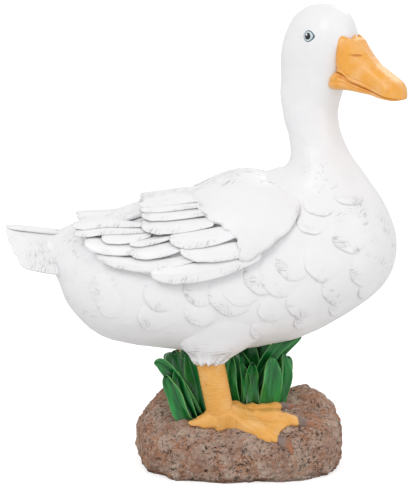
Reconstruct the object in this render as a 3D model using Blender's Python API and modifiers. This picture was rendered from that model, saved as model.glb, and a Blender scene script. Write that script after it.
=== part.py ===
"""A duck garden statue: one painted resin casting of a white duck that stands in strap-leaved grass on a rock.

The duck faces +X with its head turned towards -Y, and the rock's flat underside lies on Z = 0.
Every form is a sphere pulled into shape by a function of two numbers: t, from 0 at one pole to 1 at the
other, and an angle round. The forms overlap, a fine voxel skin casts them into one body, and that skin is
thinned to the triangles that the shape needs. Tables are in millimetres.
"""

import math

import bmesh
import bpy
from mathutils import Matrix, Vector, noise
from mathutils.bvhtree import BVHTree

MM = 0.001

# The rock. It bulges above the ground and is cut flat underneath.
ROCK_LENGTH = 184.0
ROCK_DEPTH = 146.0
ROCK_HEIGHT = 53.0
ROCK_BULGE_HEIGHT = 24.0
ROCK_LUMP = 4.2
ROCK_LUMP_SPACING = 30.0
ROCK_FLATNESS = 0.55
ROCK_SQUARENESS = 0.75
ROCK_NEAR_FALL = 0.5
# Its two knolls, in front and behind: x, y, rise and radius.
KNOLLS = ((62.0, 26.0, 15.0, 26.0), (-67.0, 16.0, 15.0, 23.0))

# The zero of the duck's own heights, above the rock's crown. Its feet reach down from there.
PERCH_RISE = 10.0

# The head and bill turn about the neck's upright axis, and the neck twists over this stretch.
HEAD_TURN = math.radians(35)
NECK_AXIS_X = 62.0
TWIST_START = 240.0
TWIST_END = 290.0

# Tail to crown: back x, back z, front x, front z, half width.
TRUNK = (
    (-194, 150, -194, 142, 1),
    (-182, 152, -182, 128, 12),
    (-166, 151, -166, 112, 21),
    (-152, 158, -154, 84, 37),
    (-128, 163, -128, 59, 54),
    (-94, 169, -95, 50, 67),
    (-58, 179, -58, 45.5, 73),
    (-22, 191, -22, 44, 76),
    (8, 200, 18, 48, 75),
    (30, 208, 56, 57, 72),
    (40, 211, 97, 78, 67),
    (44, 217, 131, 106, 60),
    (45, 224, 141, 139, 52),
    (44, 232, 133, 170, 43),
    (42, 242, 115, 199, 34),
    (39, 252, 98, 223, 28),
    (37, 264, 89, 244, 24.5),
    (35, 276, 87, 262, 23),
    (34, 289, 92, 279, 23),
    (33, 302, 99, 297, 24),
    (34, 313, 103, 311, 25),
    (37, 326, 107, 325, 24.5),
    (42, 337, 106, 337, 22),
    (49, 347, 101, 347, 17),
    (60, 354, 92, 354, 9.5),
    (75, 357, 78, 357, 1),
)
BELLY_FULLNESS = 0.12

# The bill, before the head turns: x, top z, mouth z, half width above, chin z, half width below.
BILL = (
    (90, 322, 297, 12, 286, 10),
    (99, 333, 299, 17.5, 284, 15),
    (106, 335, 297, 17.5, 283, 15),
    (113, 328, 293, 16, 282, 13.5),
    (121, 318, 290, 14.5, 281, 12.5),
    (130, 308, 287, 14, 280, 12),
    (138.5, 302, 284, 14.5, 278, 12),
    (147, 296.5, 281.5, 15.5, 277, 12),
    (153.5, 291.5, 280.5, 13.5, 276.5, 10),
    (159, 284, 279.5, 4, 277.5, 3),
)
EYE_RADIUS = 4.4
EYE_X = 74.5
EYE_Z = 330.0

# The folded wing: its top edge, widest level and half breadth at x from +60 every 25 mm back.
WING_FRONT_X = 60.0
WING_STEP = 25.0
WING_FRAME = (
    (196, 176, 56),
    (200, 158, 68),
    (206.5, 138, 77),
    (203, 127.5, 80),
    (190.5, 121.5, 80),
    (185, 120, 77),
    (178.5, 126.5, 71),
    (168.5, 133, 62),
    (166, 147, 50),
    (163, 155, 38),
)
WING_CORE_DEPTH = 3.2
BACK_RIDGE_HALF_WIDTH = 27.0
BACK_RIDGE_DEPTH = 20.0
BACK_RIDGE_RISE = 0.5
# How far the ridge sinks behind, where it is the floor of a valley between the wing tips.
BACK_RIDGE_SAG = 8.0
FEATHER_THICKNESS = 3.4
FEATHER_TILT = 1.5
# Root x, root z, tip x, tip z, half width, bow, lift. The lift is how far the tip stands proud of the wing.
WING_FEATHERS = (
    (-64, 133, -108, 134, 3.2, 2, 0.6),
    (-36, 145, -128, 141, 5.8, 8, 1.2),
    (-80, 150, -138, 151, 6.5, 3, 2.0),
    (-43, 156, -98, 145, 6.3, 3, 2.6),
    (-57, 160, -98, 151, 3.4, 1, 3.0),
    (-78, 161, -123, 154, 4.7, 2, 3.0),
    (-80, 163, -148, 157, 3.8, 0, 3.2),
    (-80, 167, -150, 161, 3.4, 0, 3.6),
    (18, 147, -80, 128, 8.5, 6, 3.0),
    (20, 155, -54, 148, 8.1, 4, 4.0),
    (8, 171, -63, 155, 7.6, 4, 4.8),
    (-23, 172, -88, 164, 6.3, 2, 5.2),
    (-25, 179, -88, 170, 4.3, 1, 6.0),
    (-29, 183, -89, 173, 3.2, 0, 6.4),
    (-31, 186, -91, 175, 2.6, 0, 6.8),
)
# The shoulder's smooth cap, as x and z round its edge. Behind, its edge is scalloped by the ends of small feathers.
CAP_OUTLINE = (
    (-35, 191),
    (-40.5, 188.5),
    (-42, 186.5),
    (-40.5, 184.5),
    (-38, 182),
    (-38, 179.3),
    (-35.5, 176),
    (-30.3, 174),
    (-28.5, 171.4),
    (-23.3, 170),
    (-18, 169),
    (-15, 165.3),
    (-10, 163.2),
    (-8.2, 160),
    (-3.8, 157.7),
    (-3.8, 152.2),
    (-0.8, 148.3),
    (-2.5, 142.5),
    (1.4, 139.5),
    (9.2, 140.8),
    (18, 146.8),
    (25, 150.5),
    (32.7, 157.4),
    (41.5, 163.7),
    (48.6, 174.4),
    (51.4, 183.3),
    (50.9, 189.3),
    (48, 192.5),
    (42, 195),
    (28, 198.5),
    (8.5, 202.5),
    (-9, 200.5),
    (-27, 194),
)
CAP_MIDDLE_X, CAP_MIDDLE_Z = 8.0, 172.0
CAP_HEIGHT, CAP_HALF_THICKNESS = 1.2, 3.0

# The tail: a fan of feathers that droops to each side like a roof. Its sizes are the middle feather's, and how
# much the outermost one is lower, shorter and further out.
TAIL_FEATHERS_A_SIDE = 4
TAIL_ROOT = (-148.0, 0.0, 149.0)
TAIL_TIP = (-211.0, 0.0, 156.0)
TAIL_OUTER_ROOT_DROP = 30.0
TAIL_OUTER_TIP_DROP = 24.0
TAIL_OUTER_ROOT_SPREAD = 20.0
TAIL_OUTER_TIP_SPREAD = 28.0
TAIL_OUTER_SHORTER = 13.0
TAIL_FEATHER_HALF_WIDTH = 9.0
TAIL_FEATHER_THICKNESS = 5.0

# Breast and flank feathers: x, z and tilt of the tip below the horizontal, then half length and half width.
SCALES = (
    (95, 197, 80, 15, 16),
    (69, 188, 80, 14, 15),
    (62, 174, 80, 15, 14),
    (97, 162, 62, 19, 18),
    (114, 132, 50, 22, 18),
    (76, 140, 46, 22, 20),
    (48, 139, 46, 19, 17),
    (38, 130, 42, 24, 22),
    (22, 130, 50, 22, 18),
    (116, 109, 42, 14, 14),
    (91, 116, 42, 22, 19),
    (93, 96, 32, 17, 15),
    (59, 103, 42, 20, 19),
    (62, 83, 24, 16, 13),
    (30, 97, 42, 16, 14),
    (23, 76, 36, 15, 13),
    (3, 120, 50, 22, 19),
    (-5, 114, 48, 25, 22),
    (-34, 115, 42, 16, 16),
    (-35, 95, 72, 15, 15),
    (-67, 111, 36, 19, 17),
    (-71, 88, 26, 20, 16),
    (-117, 112, 22, 17, 16),
    (-113, 98, 30, 15, 14),
)
SCALE_LIFT = 3.0
SCALE_THICKNESS = 3.6

# Thighs, legs and feet. The far leg stands further back than the near one.
NEAR_LEG_X = -16.0
FAR_LEG_SETBACK = 20.0
LEG_LEAN = 12.0
# The thigh from top to hem: z, how far its middle lies ahead of the leg's top, half length, half width, and
# how far its middle lies outside the leg's.
THIGH = (
    (124, 14, 8, 4, 20),
    (114, 14, 29, 14, 17),
    (98, 14, 40, 21, 14),
    (80, 12, 43, 22, 10),
    (66, 9, 39, 20, 7),
    (55, 5, 30, 17.5, 5),
    (47, 2, 20, 15, 3),
    (41, 0, 13.5, 13, 2),
    (39.5, 0, 3, 3, 2),
)
LEG_RADIUS = 12.5
ANKLE_RADIUS = 12.0
OUTER_TOE_LENGTH = 57.0
MIDDLE_TOE_LENGTH = 70.0
INNER_TOE_LENGTH = 60.0
TOE_SPREAD = math.radians(26)
TOE_RADIUS = 5.2
WEB_THICKNESS = 6.5
WEB_SCALLOP = 0.11
INSTEP = 12.0
INSTEP_RADIUS = 21.0
SPUR_LENGTH = 31.0
SPUR_RADIUS = 8.0
# How much of its radius a toe loses towards its tip, and the spur.
TOE_TAPER = 0.4
SPUR_TAPER = 1.15
CLAW_LENGTH = 16.0
CLAW_RADIUS = 4.0
CLAW_OVERLAP = 3.0
# The feet stand as far out as leaves this much rock beyond the outer claw.
RIM_CLEARANCE = 4.3
LEG_Y = ROCK_DEPTH / 2 - RIM_CLEARANCE - (OUTER_TOE_LENGTH + CLAW_LENGTH - CLAW_OVERLAP) * math.sin(TOE_SPREAD)

# Grass blades: root x, root y, bow towards the front, tip x, tip y, tip z above the rock's crown, arch, half width.
BLADES = (
    (-34, -27, -9, -77, -26, 45, 35, 6.5),
    (-45, -31, -4, -65, -30, 37, -3, 8),
    (-38, -29, -5, -58, -28, 41, 0, 6),
    (-33, -24, 3, -48, -20, 54, 0, 8),
    (-42, -12, 0, -58, -10, 55, 0, 8.5),
    (-48, 4, -3, -64, 8, 48, 6, 8.5),
    (-46, 22, 4, -70, 26, 40, 18, 8),
    (-38, 14, 3, -50, 18, 56, 0, 9),
    (-22, 2, 2, -28, 2, 58, 0, 10),
    (-2, -17, -11, -7, -18, 52, 0, 7.5),
    (4, -18, 7, 0, -17, 45, 0, 4.5),
    (8, -14, 10, 0, -13, 54, 0, 6),
    (13, -16, -3, 11, -17, 45, 0, 6.5),
    (25, -15, 2, 29, -16, 49, 0, 9.5),
    (33, -10, 8, 40, -11, 51, 0, 5.5),
    (10, -7, -18, 58, -10, 71, 25, 6.5),
    (-4, 6, 1, -6, 8, 56, 0, 9.5),
    (10, 12, 2, 8, 16, 60, 0, 9.5),
    (24, 14, -2, 22, 16, 62, 0, 10),
    (34, 6, -4, 46, 8, 44, 6, 8),
    (18, 10, -14, 57, 16, 61, 20, 6.5),
)
BLADE_THICKNESS = 4.6
BLADE_FOLD = 2.0
BLADE_TURN = math.radians(24)

# The cast skin, and the triangles left in it.
SKIN_VOXEL = 1.3
SKIN_TRIANGLES = 12200
CUT_MARGIN = 14.0

PAINTS = {
    "plumage_white": ("#EFEFEF", 0.45),
    "bill_orange": ("#F2AE4A", 0.32),
    "eye_blue_black": ("#1B2A38", 0.25),
    "leg_yellow": ("#EDAF52", 0.42),
    "claw_horn": ("#A08A78", 0.5),
    "leaf_green": ("#126B26", 0.3),
    "rock_brown": ("#8C7264", 0.85),
}


def smoothstep(low, high, value):
    """0 below low, 1 above high, and an easy rise between."""
    share = min(1.0, max(0.0, (value - low) / (high - low)))
    return share * share * (3 - 2 * share)


def through(rows, t):
    """The row at share t of a smooth curve through evenly spaced rows of numbers."""
    spans = len(rows) - 1
    place = min(max(t, 0.0), 1.0) * spans
    i = min(int(place), spans - 1)
    f = place - i
    before, start, end, after = (rows[min(max(i + k, 0), spans)] for k in (-1, 0, 1, 2))
    return [
        0.5 * (2 * b + (c - a) * f + (2 * a - 5 * b + 4 * c - d) * f**2 + (3 * b - a - 3 * c + d) * f**3)
        for a, b, c, d in zip(before, start, end, after)
    ]


def signed_power(value, power):
    return math.copysign(abs(value) ** power, value)


def rounded_ends(t, root_share, tip_share):
    """A width that is 1 along the middle and closes in a half round at each end."""
    if t < root_share:
        return math.sqrt(max(0.0, 1 - (1 - t / root_share) ** 2))
    if t > 1 - tip_share:
        return math.sqrt(max(0.0, 1 - (1 - (1 - t) / tip_share) ** 2))
    return 1.0


def paint(name):
    """The coat of paint, as a material."""
    found = bpy.data.materials.get(name)
    if found:
        return found
    colour, roughness = PAINTS[name]
    made = bpy.data.materials.new(name)
    made.use_nodes = True
    shader = made.node_tree.nodes["Principled BSDF"]
    channels = [int(colour[i : i + 2], 16) / 255 for i in (1, 3, 5)]
    linear = [c / 12.92 if c <= 0.04045 else ((c + 0.055) / 1.055) ** 2.4 for c in channels]
    shader.inputs["Base Color"].default_value = (*linear, 1)
    shader.inputs["Roughness"].default_value = roughness
    made.diffuse_color = (*linear, 1)
    return made


def pulled_sphere(name, around, along, place, coat, forms):
    """A closed form: a sphere whose points go to place(t, angle), in millimetres."""
    mesh = bmesh.new()
    bmesh.ops.create_uvsphere(mesh, u_segments=around, v_segments=along, radius=1)
    for vertex in mesh.verts:
        t = math.acos(max(-1.0, min(1.0, vertex.co.z))) / math.pi
        vertex.co = Vector(place(t, math.atan2(vertex.co.y, vertex.co.x))) * MM
    bmesh.ops.recalc_face_normals(mesh, faces=mesh.faces)
    data = bpy.data.meshes.new(name)
    mesh.to_mesh(data)
    mesh.free()
    data.materials.append(paint(coat))
    form = bpy.data.objects.new(name, data)
    form.hide_render = True
    form.display_type = "WIRE"
    forms.objects.link(form)
    return form


def rock_point(t, angle):
    """The rock's skin, without its lumps: a squared, flattened sphere that falls away towards the near side."""
    level = math.cos(t * math.pi)
    ring = math.sin(t * math.pi) ** ROCK_FLATNESS
    x = ROCK_LENGTH / 2 * ring * signed_power(math.cos(angle), ROCK_SQUARENESS)
    y = ROCK_DEPTH / 2 * ring * signed_power(math.sin(angle), ROCK_SQUARENESS)
    if level < 0:
        depth = ROCK_BULGE_HEIGHT + CUT_MARGIN
        return Vector((x, y, ROCK_BULGE_HEIGHT + depth * signed_power(level, ROCK_FLATNESS)))
    rise = ROCK_HEIGHT - ROCK_BULGE_HEIGHT
    rise *= 1 - ROCK_NEAR_FALL * smoothstep(0.15, 1.0, -2 * y / ROCK_DEPTH)
    for knoll_x, knoll_y, knoll_rise, radius in KNOLLS:
        rise += knoll_rise * math.exp(-((x - knoll_x) ** 2 + (y - knoll_y) ** 2) / radius**2)
    return Vector((x, y, ROCK_BULGE_HEIGHT + rise * level**ROCK_FLATNESS))


def make_rock(forms):
    """Makes the rock, and returns a function that finds a point of its upper skin, raised by a lift."""

    def place(t, angle):
        point = rock_point(t, angle)
        lump = noise.noise(point / ROCK_LUMP_SPACING) + 0.5 * noise.noise(point * 2.3 / ROCK_LUMP_SPACING)
        outward = (point - Vector((0, 0, ROCK_BULGE_HEIGHT))).normalized()
        return point + outward * ROCK_LUMP * lump

    rock = pulled_sphere("rock", 72, 40, place, "rock_brown", forms)
    skin = BVHTree.FromObject(rock, bpy.context.evaluated_depsgraph_get())

    def on_rock(point, lift=0.0):
        above = Vector((point.x, point.y, 2 * ROCK_HEIGHT)) * MM
        hit = skin.ray_cast(above, Vector((0, 0, -1)))[0]
        if hit is None:
            hit = skin.find_nearest(Vector((point.x, point.y, ROCK_BULGE_HEIGHT)) * MM)[0]
        return Vector((point.x, point.y, hit.z / MM + lift))

    return on_rock


def turned(point, share=1.0):
    """A point of the head after the head turns about the neck's axis."""
    turn = Matrix.Rotation(-HEAD_TURN * share, 3, "Z")
    axis = Vector((NECK_AXIS_X, 0, 0))
    return turn @ (point - axis) + axis


def above_perch(x, y, z):
    return Vector((x, y, z + ROCK_HEIGHT + PERCH_RISE))


def trunk_point(t, angle):
    """The body, neck and head: an oval between the back line and the front line."""
    back_x, back_z, front_x, front_z, half_width = through(TRUNK, t)
    share = 0.5 + 0.5 * (BELLY_FULLNESS * math.sin(angle) ** 2 - math.cos(angle))
    x = back_x + (front_x - back_x) * share
    z = back_z + (front_z - back_z) * share
    twist = smoothstep(TWIST_START, TWIST_END, (back_z + front_z) / 2)
    return turned(above_perch(x, half_width * math.sin(angle), z), twist)


def make_trunk(forms):
    pulled_sphere("trunk_neck_and_head", 40, 72, trunk_point, "plumage_white", forms)


def make_bill(forms):
    def upper(t, angle):
        x, top, mouth, half_width, _, _ = through(BILL, t)
        side = half_width * signed_power(math.cos(angle), 0.6)
        dome = math.sin(angle)
        z = mouth + (top - mouth) * dome**0.85 if dome > 0 else mouth + 1.5 * dome
        return turned(above_perch(x, side, z))

    def lower(t, angle):
        x, _, mouth, _, chin, half_width = through(BILL, t)
        side = half_width * signed_power(math.cos(angle), 0.6)
        z = (mouth + chin) / 2 + (mouth - chin) / 2 * signed_power(math.sin(angle), 0.8)
        return turned(above_perch(x - 1.5 * t, side, z))

    pulled_sphere("upper_bill", 28, 26, upper, "bill_orange", forms)
    pulled_sphere("lower_bill", 20, 20, lower, "bill_orange", forms)


def make_eyes(forms):
    """Each eye is a low bead on the side of the head."""
    for side in (-1, 1):
        z = EYE_Z
        _, _, _, _, half_width = through(TRUNK, trunk_share_at(z))

        def place(t, angle):
            x = EYE_X + EYE_RADIUS * math.sin(t * math.pi) * math.cos(angle)
            height = z + EYE_RADIUS * math.sin(t * math.pi) * math.sin(angle)
            y = side * (half_width - 1.8 + 0.6 * EYE_RADIUS * math.cos(t * math.pi))
            return turned(above_perch(x, y, height))

        pulled_sphere(f"eye_{'near' if side < 0 else 'far'}", 16, 10, place, "eye_blue_black", forms)


def trunk_share_at(z):
    """The share of the trunk's length at which the head's back line reaches a height."""
    steps = 400
    return next(i / steps for i in range(steps // 2, steps) if through(TRUNK, i / steps)[1] >= z)


def wing_row(x):
    """The wing's top edge, bottom edge and half breadth at a distance along the duck."""
    length = WING_STEP * (len(WING_FRAME) - 1)
    return through(WING_FRAME, (WING_FRONT_X - x) / length)


def on_wing(x, z, height, side):
    """The point of the folded wing's surface at x and z, raised by a height along the surface's normal."""
    top, widest, breadth = wing_row(x)
    rise = min(1.0, max(-0.5, (z - widest) / (top - widest)))
    out = math.sqrt(1 - rise * rise)
    return above_perch(x, side * (breadth * out + height * out), z + height * rise)


def make_wing_core(side, forms):
    """The smooth mass of the wing that its feathers lie on."""
    front, rear = WING_FRONT_X - 4, -138.0

    def place(t, angle):
        x = front + (rear - front) * t
        top, widest, _ = wing_row(x)
        middle, half = (top + widest) / 2, (top - widest) / 2
        z = middle + (half - 1) * rounded_ends(t, 0.16, 0.2) * math.cos(angle)
        inward = max(0.0, -math.sin(angle))
        point = on_wing(x, z, -WING_CORE_DEPTH - 3 * (1 - abs(math.sin(angle))), side)
        point.y *= 1 - 1.03 * inward
        return point

    pulled_sphere(f"wing_core_{name_of(side)}", 28, 32, place, "plumage_white", forms)


def make_back_ridge(forms):
    """Fills the valley between the folded wings, along the top of the back."""
    front, rear = 52.0, -142.0

    def place(t, angle):
        x = front + (rear - front) * t
        ends = rounded_ends(t, 0.12, 0.3)
        crest = wing_row(x)[0] + BACK_RIDGE_RISE - BACK_RIDGE_SAG * smoothstep(50, 92, -x) - BACK_RIDGE_DEPTH
        y = BACK_RIDGE_HALF_WIDTH * ends * math.cos(angle)
        return above_perch(x, y, crest + BACK_RIDGE_DEPTH * ends * math.sin(angle))

    pulled_sphere("back_ridge", 24, 28, place, "plumage_white", forms)


def name_of(side):
    return "near" if side < 0 else "far"


def feather_width(t):
    """A vane that widens to two thirds of its length and closes in a round tip."""
    return (0.62 + 0.38 * math.sin(min(1.0, t / 0.7) * math.pi / 2)) * rounded_ends(t, 0.06, 0.22)


def make_wing_feathers(side, forms):
    for i, (root_x, root_z, tip_x, tip_z, half_width, bow, lift) in enumerate(WING_FEATHERS):
        run = Vector((tip_x - root_x, tip_z - root_z))
        across = Vector((run.y, -run.x)).normalized()

        def place(t, angle):
            edge = math.cos(angle)
            vane = half_width * feather_width(t) * edge
            x, z = Vector((root_x, root_z)) + run * t + across * (vane - bow * 4 * t * (1 - t))
            thick = FEATHER_THICKNESS / 2 * signed_power(math.sin(angle), 0.6) * rounded_ends(t, 0.06, 0.05)
            low_edge = edge if across.y < 0 else -edge
            height = lift * (0.3 + 0.7 * t) + FEATHER_TILT * low_edge - FEATHER_THICKNESS / 2 + thick
            return on_wing(x, z, height, side)

        pulled_sphere(f"wing_feather_{name_of(side)}_{i + 1}", 14, 14, place, "plumage_white", forms)


def make_wing_cap(side, forms):
    """The shoulder's cap: a plate of even thickness whose edge follows its outline."""

    def place(t, angle):
        edge_x, edge_z = through(CAP_OUTLINE + CAP_OUTLINE[:1], angle / (2 * math.pi) % 1)
        ring = math.sin(t * math.pi) ** 0.6
        x = CAP_MIDDLE_X + (edge_x - CAP_MIDDLE_X) * ring
        z = CAP_MIDDLE_Z + (edge_z - CAP_MIDDLE_Z) * ring
        return on_wing(x, z, CAP_HEIGHT + CAP_HALF_THICKNESS * signed_power(math.cos(t * math.pi), 0.35), side)

    pulled_sphere(f"wing_cap_{name_of(side)}", 66, 16, place, "plumage_white", forms)


def make_tail(forms):
    for i in range(-TAIL_FEATHERS_A_SIDE, TAIL_FEATHERS_A_SIDE + 1):
        share = i / TAIL_FEATHERS_A_SIDE
        droop, spread = abs(share) ** 1.4, share
        root = above_perch(*TAIL_ROOT) + Vector((0, TAIL_OUTER_ROOT_SPREAD * spread, -TAIL_OUTER_ROOT_DROP * droop))
        tip = above_perch(*TAIL_TIP) + Vector((0, TAIL_OUTER_TIP_SPREAD * spread, -TAIL_OUTER_TIP_DROP * droop))
        tip.x += TAIL_OUTER_SHORTER * share**2
        slope = math.copysign(1.4 * TAIL_OUTER_TIP_DROP * abs(share) ** 0.4, share)
        across = Vector((0, TAIL_OUTER_TIP_SPREAD, -slope)).normalized()
        run = tip - root
        flat = run.cross(across).normalized()

        def place(t, angle):
            vane = TAIL_FEATHER_HALF_WIDTH * feather_width(t) * math.cos(angle)
            thin = TAIL_FEATHER_THICKNESS / 2 * (1 - 0.4 * t) * rounded_ends(t, 0.06, 0.06)
            return root + run * t + across * vane + flat * thin * signed_power(math.sin(angle), 0.6)

        pulled_sphere(f"tail_feather_{i + TAIL_FEATHERS_A_SIDE + 1}", 14, 14, place, "plumage_white", forms)


def make_scales(forms):
    """The scallops of the breast and flank, laid on the body where a line across the duck meets it."""
    body = bmesh.new()
    for name in ("trunk_neck_and_head", "thigh_near", "thigh_far"):
        body.from_mesh(bpy.data.objects[name].data)
    skin = BVHTree.FromBMesh(body)
    body.free()
    for side in (-1, 1):
        for i, (x, z, tilt, half_length, half_width) in enumerate(SCALES):
            start = above_perch(x, side * ROCK_DEPTH, z) * MM
            hit, normal, _, _ = skin.ray_cast(start, Vector((0, -side, 0)))
            if hit is None:
                continue
            angle_down = math.radians(tilt)
            run = Vector((-math.cos(angle_down), 0, -math.sin(angle_down)))
            run = (run - normal * run.dot(normal)).normalized()
            across = normal.cross(run)

            def place(t, angle, hit=hit, normal=normal, run=run, across=across):
                s = 2 * t - 1
                width = half_width * math.sqrt(max(0.0, 1 - s * s)) ** 0.8
                flat = hit / MM + run * half_length * s + across * width * math.cos(angle)
                near, facing, _, _ = skin.ray_cast((flat + normal * half_length) * MM, -normal)
                if near is None:
                    near, facing, _, _ = skin.find_nearest(flat * MM)
                lift = SCALE_LIFT * (t - 0.6) - SCALE_THICKNESS / 4
                return near / MM + facing * (lift + SCALE_THICKNESS / 2 * signed_power(math.sin(angle), 0.6))

            pulled_sphere(f"scale_{name_of(side)}_{i + 1}", 16, 12, place, "plumage_white", forms)


def leg_x(side):
    return NEAR_LEG_X - (FAR_LEG_SETBACK if side > 0 else 0)


def make_thigh(side, forms):
    def place(t, angle):
        z, ahead, half_length, half_width, out = through(THIGH, t)
        x = leg_x(side) - LEG_LEAN + ahead + half_length * math.cos(angle)
        return above_perch(x, side * (LEG_Y + out) + half_width * math.sin(angle), z)

    pulled_sphere(f"thigh_{name_of(side)}", 28, 24, place, "plumage_white", forms)


def make_leg(side, on_rock, forms):
    foot = Vector((leg_x(side), side * LEG_Y, 0))
    sole = on_rock(foot).z
    hem = above_perch(0, 0, THIGH[-1][0] + 6).z

    def place(t, angle):
        z = hem + (sole - 4 - hem) * t
        radius = (LEG_RADIUS + (ANKLE_RADIUS - LEG_RADIUS) * smoothstep(0.4, 1.0, t)) * rounded_ends(t, 0.05, 0.05)
        x = foot.x - LEG_LEAN * (1 - t) + radius * math.cos(angle)
        return Vector((x, foot.y + 0.85 * radius * math.sin(angle), z))

    pulled_sphere(f"leg_{name_of(side)}", 20, 18, place, "leg_yellow", forms)


def make_foot(side, on_rock, forms):
    """A webbed foot: the web, a toe along each spoke of it, and a spur behind."""
    ankle = Vector((leg_x(side), side * LEG_Y, 0))
    fan = (
        (-side * TOE_SPREAD, INNER_TOE_LENGTH),
        (0.0, MIDDLE_TOE_LENGTH),
        (side * TOE_SPREAD, OUTER_TOE_LENGTH),
    )

    def reach(bearing):
        """How far the web runs from the ankle at a bearing in plan."""
        for (first, short), (last, long) in ((fan[0], fan[1]), (fan[1], fan[2])):
            share = (bearing - first) / (last - first)
            if 0 <= share <= 1:
                edge = short + (long - short) * share
                return edge * (1 - WEB_SCALLOP * math.sin(share * math.pi)) * 0.96
        beyond = abs(bearing) - TOE_SPREAD
        outer = fan[0][1] if bearing * fan[0][0] > 0 else fan[2][1]
        return ANKLE_RADIUS + (outer * 0.96 - ANKLE_RADIUS) * math.exp(-((beyond / 0.2) ** 2))

    def web(t, angle):
        out = math.sin(t * math.pi) ** 0.5 * reach(angle)
        level = math.cos(t * math.pi)
        instep = INSTEP * math.exp(-((out / INSTEP_RADIUS) ** 2)) if level > 0 else 0.0
        point = ankle + Vector((math.cos(angle), math.sin(angle), 0)) * out
        return on_rock(point, 1.5 + instep + WEB_THICKNESS / 2 * signed_power(level, 0.5))

    pulled_sphere(f"web_{name_of(side)}", 48, 14, web, "leg_yellow", forms)
    for i, (bearing, length) in enumerate(fan):
        run = Vector((math.cos(bearing), math.sin(bearing), 0))
        make_toe(f"toe_{name_of(side)}_{i + 1}", ankle, run, length, (TOE_RADIUS, TOE_TAPER), on_rock, forms)
        make_claw(f"claw_{name_of(side)}_{i + 1}", ankle + run * (length - CLAW_OVERLAP), run, on_rock, forms)
    backward = Vector((-1, 0.12 * side, 0))
    make_toe(f"spur_{name_of(side)}", ankle, backward, SPUR_LENGTH, (SPUR_RADIUS, SPUR_TAPER), on_rock, forms)


def make_toe(name, ankle, run, length, girth, on_rock, forms):
    across = Vector((-run.y, run.x, 0))
    radius, taper = girth

    def place(t, angle):
        thick = radius * (1.35 - taper * t) * rounded_ends(t, 0.1, 0.1)
        point = ankle + run * length * t + across * thick * math.cos(angle)
        return on_rock(point, 2.6 + thick * 0.8 * math.sin(angle) + 5 * (1 - t) ** 3)

    pulled_sphere(name, 14, 16, place, "leg_yellow", forms)


def make_claw(name, start, run, on_rock, forms):
    across = Vector((-run.y, run.x, 0))

    def place(t, angle):
        thick = CLAW_RADIUS * (1 - t) ** 0.6 * rounded_ends(t, 0.15, 0.1) + 0.6 * math.sin(t * math.pi)
        point = start + run * CLAW_LENGTH * t + across * thick * math.cos(angle)
        return on_rock(point, 2.4 - 1.8 * t + thick * 1.2 * math.sin(angle))

    pulled_sphere(name, 12, 10, place, "claw_horn", forms)


def make_blades(on_rock, forms):
    """Strap leaves that rise from the rock with their broad sides outwards, and arch where the table says so."""
    for i, (root_x, root_y, bow, tip_x, tip_y, tip_z, arch, half_width) in enumerate(BLADES):
        root = on_rock(Vector((root_x, root_y, 0)), -6)
        tip = Vector((tip_x, tip_y, ROCK_HEIGHT + tip_z))
        knee = (root + tip) / 2 + Vector((bow, 0, arch))
        turn = BLADE_TURN * (root_x + 5) / 50
        facing = Vector((math.sin(turn), math.copysign(math.cos(turn), root_y - 0.5), 0))

        def place(t, angle):
            spine = root * (1 - t) ** 2 + knee * 2 * t * (1 - t) + tip * t**2
            run = (knee - root) * (1 - t) + (tip - knee) * t
            across = facing.cross(run).normalized()
            flat = run.cross(across).normalized()
            width = half_width * (0.75 + 0.25 * math.sin(t * math.pi)) * rounded_ends(t, 0.05, 0.3)
            side = math.cos(angle)
            gutter = BLADE_FOLD * abs(side) - BLADE_FOLD / 2
            thick = BLADE_THICKNESS / 2 * signed_power(math.sin(angle), 0.7) * rounded_ends(t, 0.05, 0.08)
            return spine + across * width * side + flat * (gutter + thick)

        pulled_sphere(f"blade_{i + 1}", 14, 16, place, "leaf_green", forms)


def cast_in_one(forms, collection):
    """One closed body: a voxel skin over all the forms, thinned, and cut flat underneath."""
    mould = bmesh.new()
    for form in forms.objects:
        mould.from_mesh(form.data)
    data = bpy.data.meshes.new("duck_statue")
    mould.to_mesh(data)
    mould.free()
    statue = bpy.data.objects.new("duck_statue", data)
    collection.objects.link(statue)
    skin = statue.modifiers.new("cast skin", "REMESH")
    skin.mode = "VOXEL"
    skin.voxel_size = SKIN_VOXEL * MM
    replace_mesh(statue, outer_shell_only=True)
    thin = statue.modifiers.new("thinned", "DECIMATE")
    thin.ratio = SKIN_TRIANGLES / sum(len(face.vertices) - 2 for face in statue.data.polygons)
    replace_mesh(statue, cut_height=0.0)
    return statue


def replace_mesh(obj, outer_shell_only=False, cut_height=None):
    """Makes the modifiers' result the object's own mesh, keeps its outer shell, and cuts it flat where asked."""
    graph = bpy.context.evaluated_depsgraph_get()
    result = bpy.data.meshes.new_from_object(obj.evaluated_get(graph))
    obj.modifiers.clear()
    mesh = bmesh.new()
    mesh.from_mesh(result)
    if outer_shell_only:
        remove_inner_shells(mesh)
    if cut_height is not None:
        every = mesh.verts[:] + mesh.edges[:] + mesh.faces[:]
        below = dict(plane_co=(0, 0, cut_height), plane_no=(0, 0, -1), clear_outer=True)
        cut = bmesh.ops.bisect_plane(mesh, geom=every, dist=1e-7, **below)
        rim = [edge for edge in cut["geom_cut"] if isinstance(edge, bmesh.types.BMEdge)]
        bmesh.ops.contextual_create(mesh, geom=rim)
        bmesh.ops.triangulate(mesh, faces=mesh.faces)
    mesh.to_mesh(result)
    mesh.free()
    obj.data = result


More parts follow.
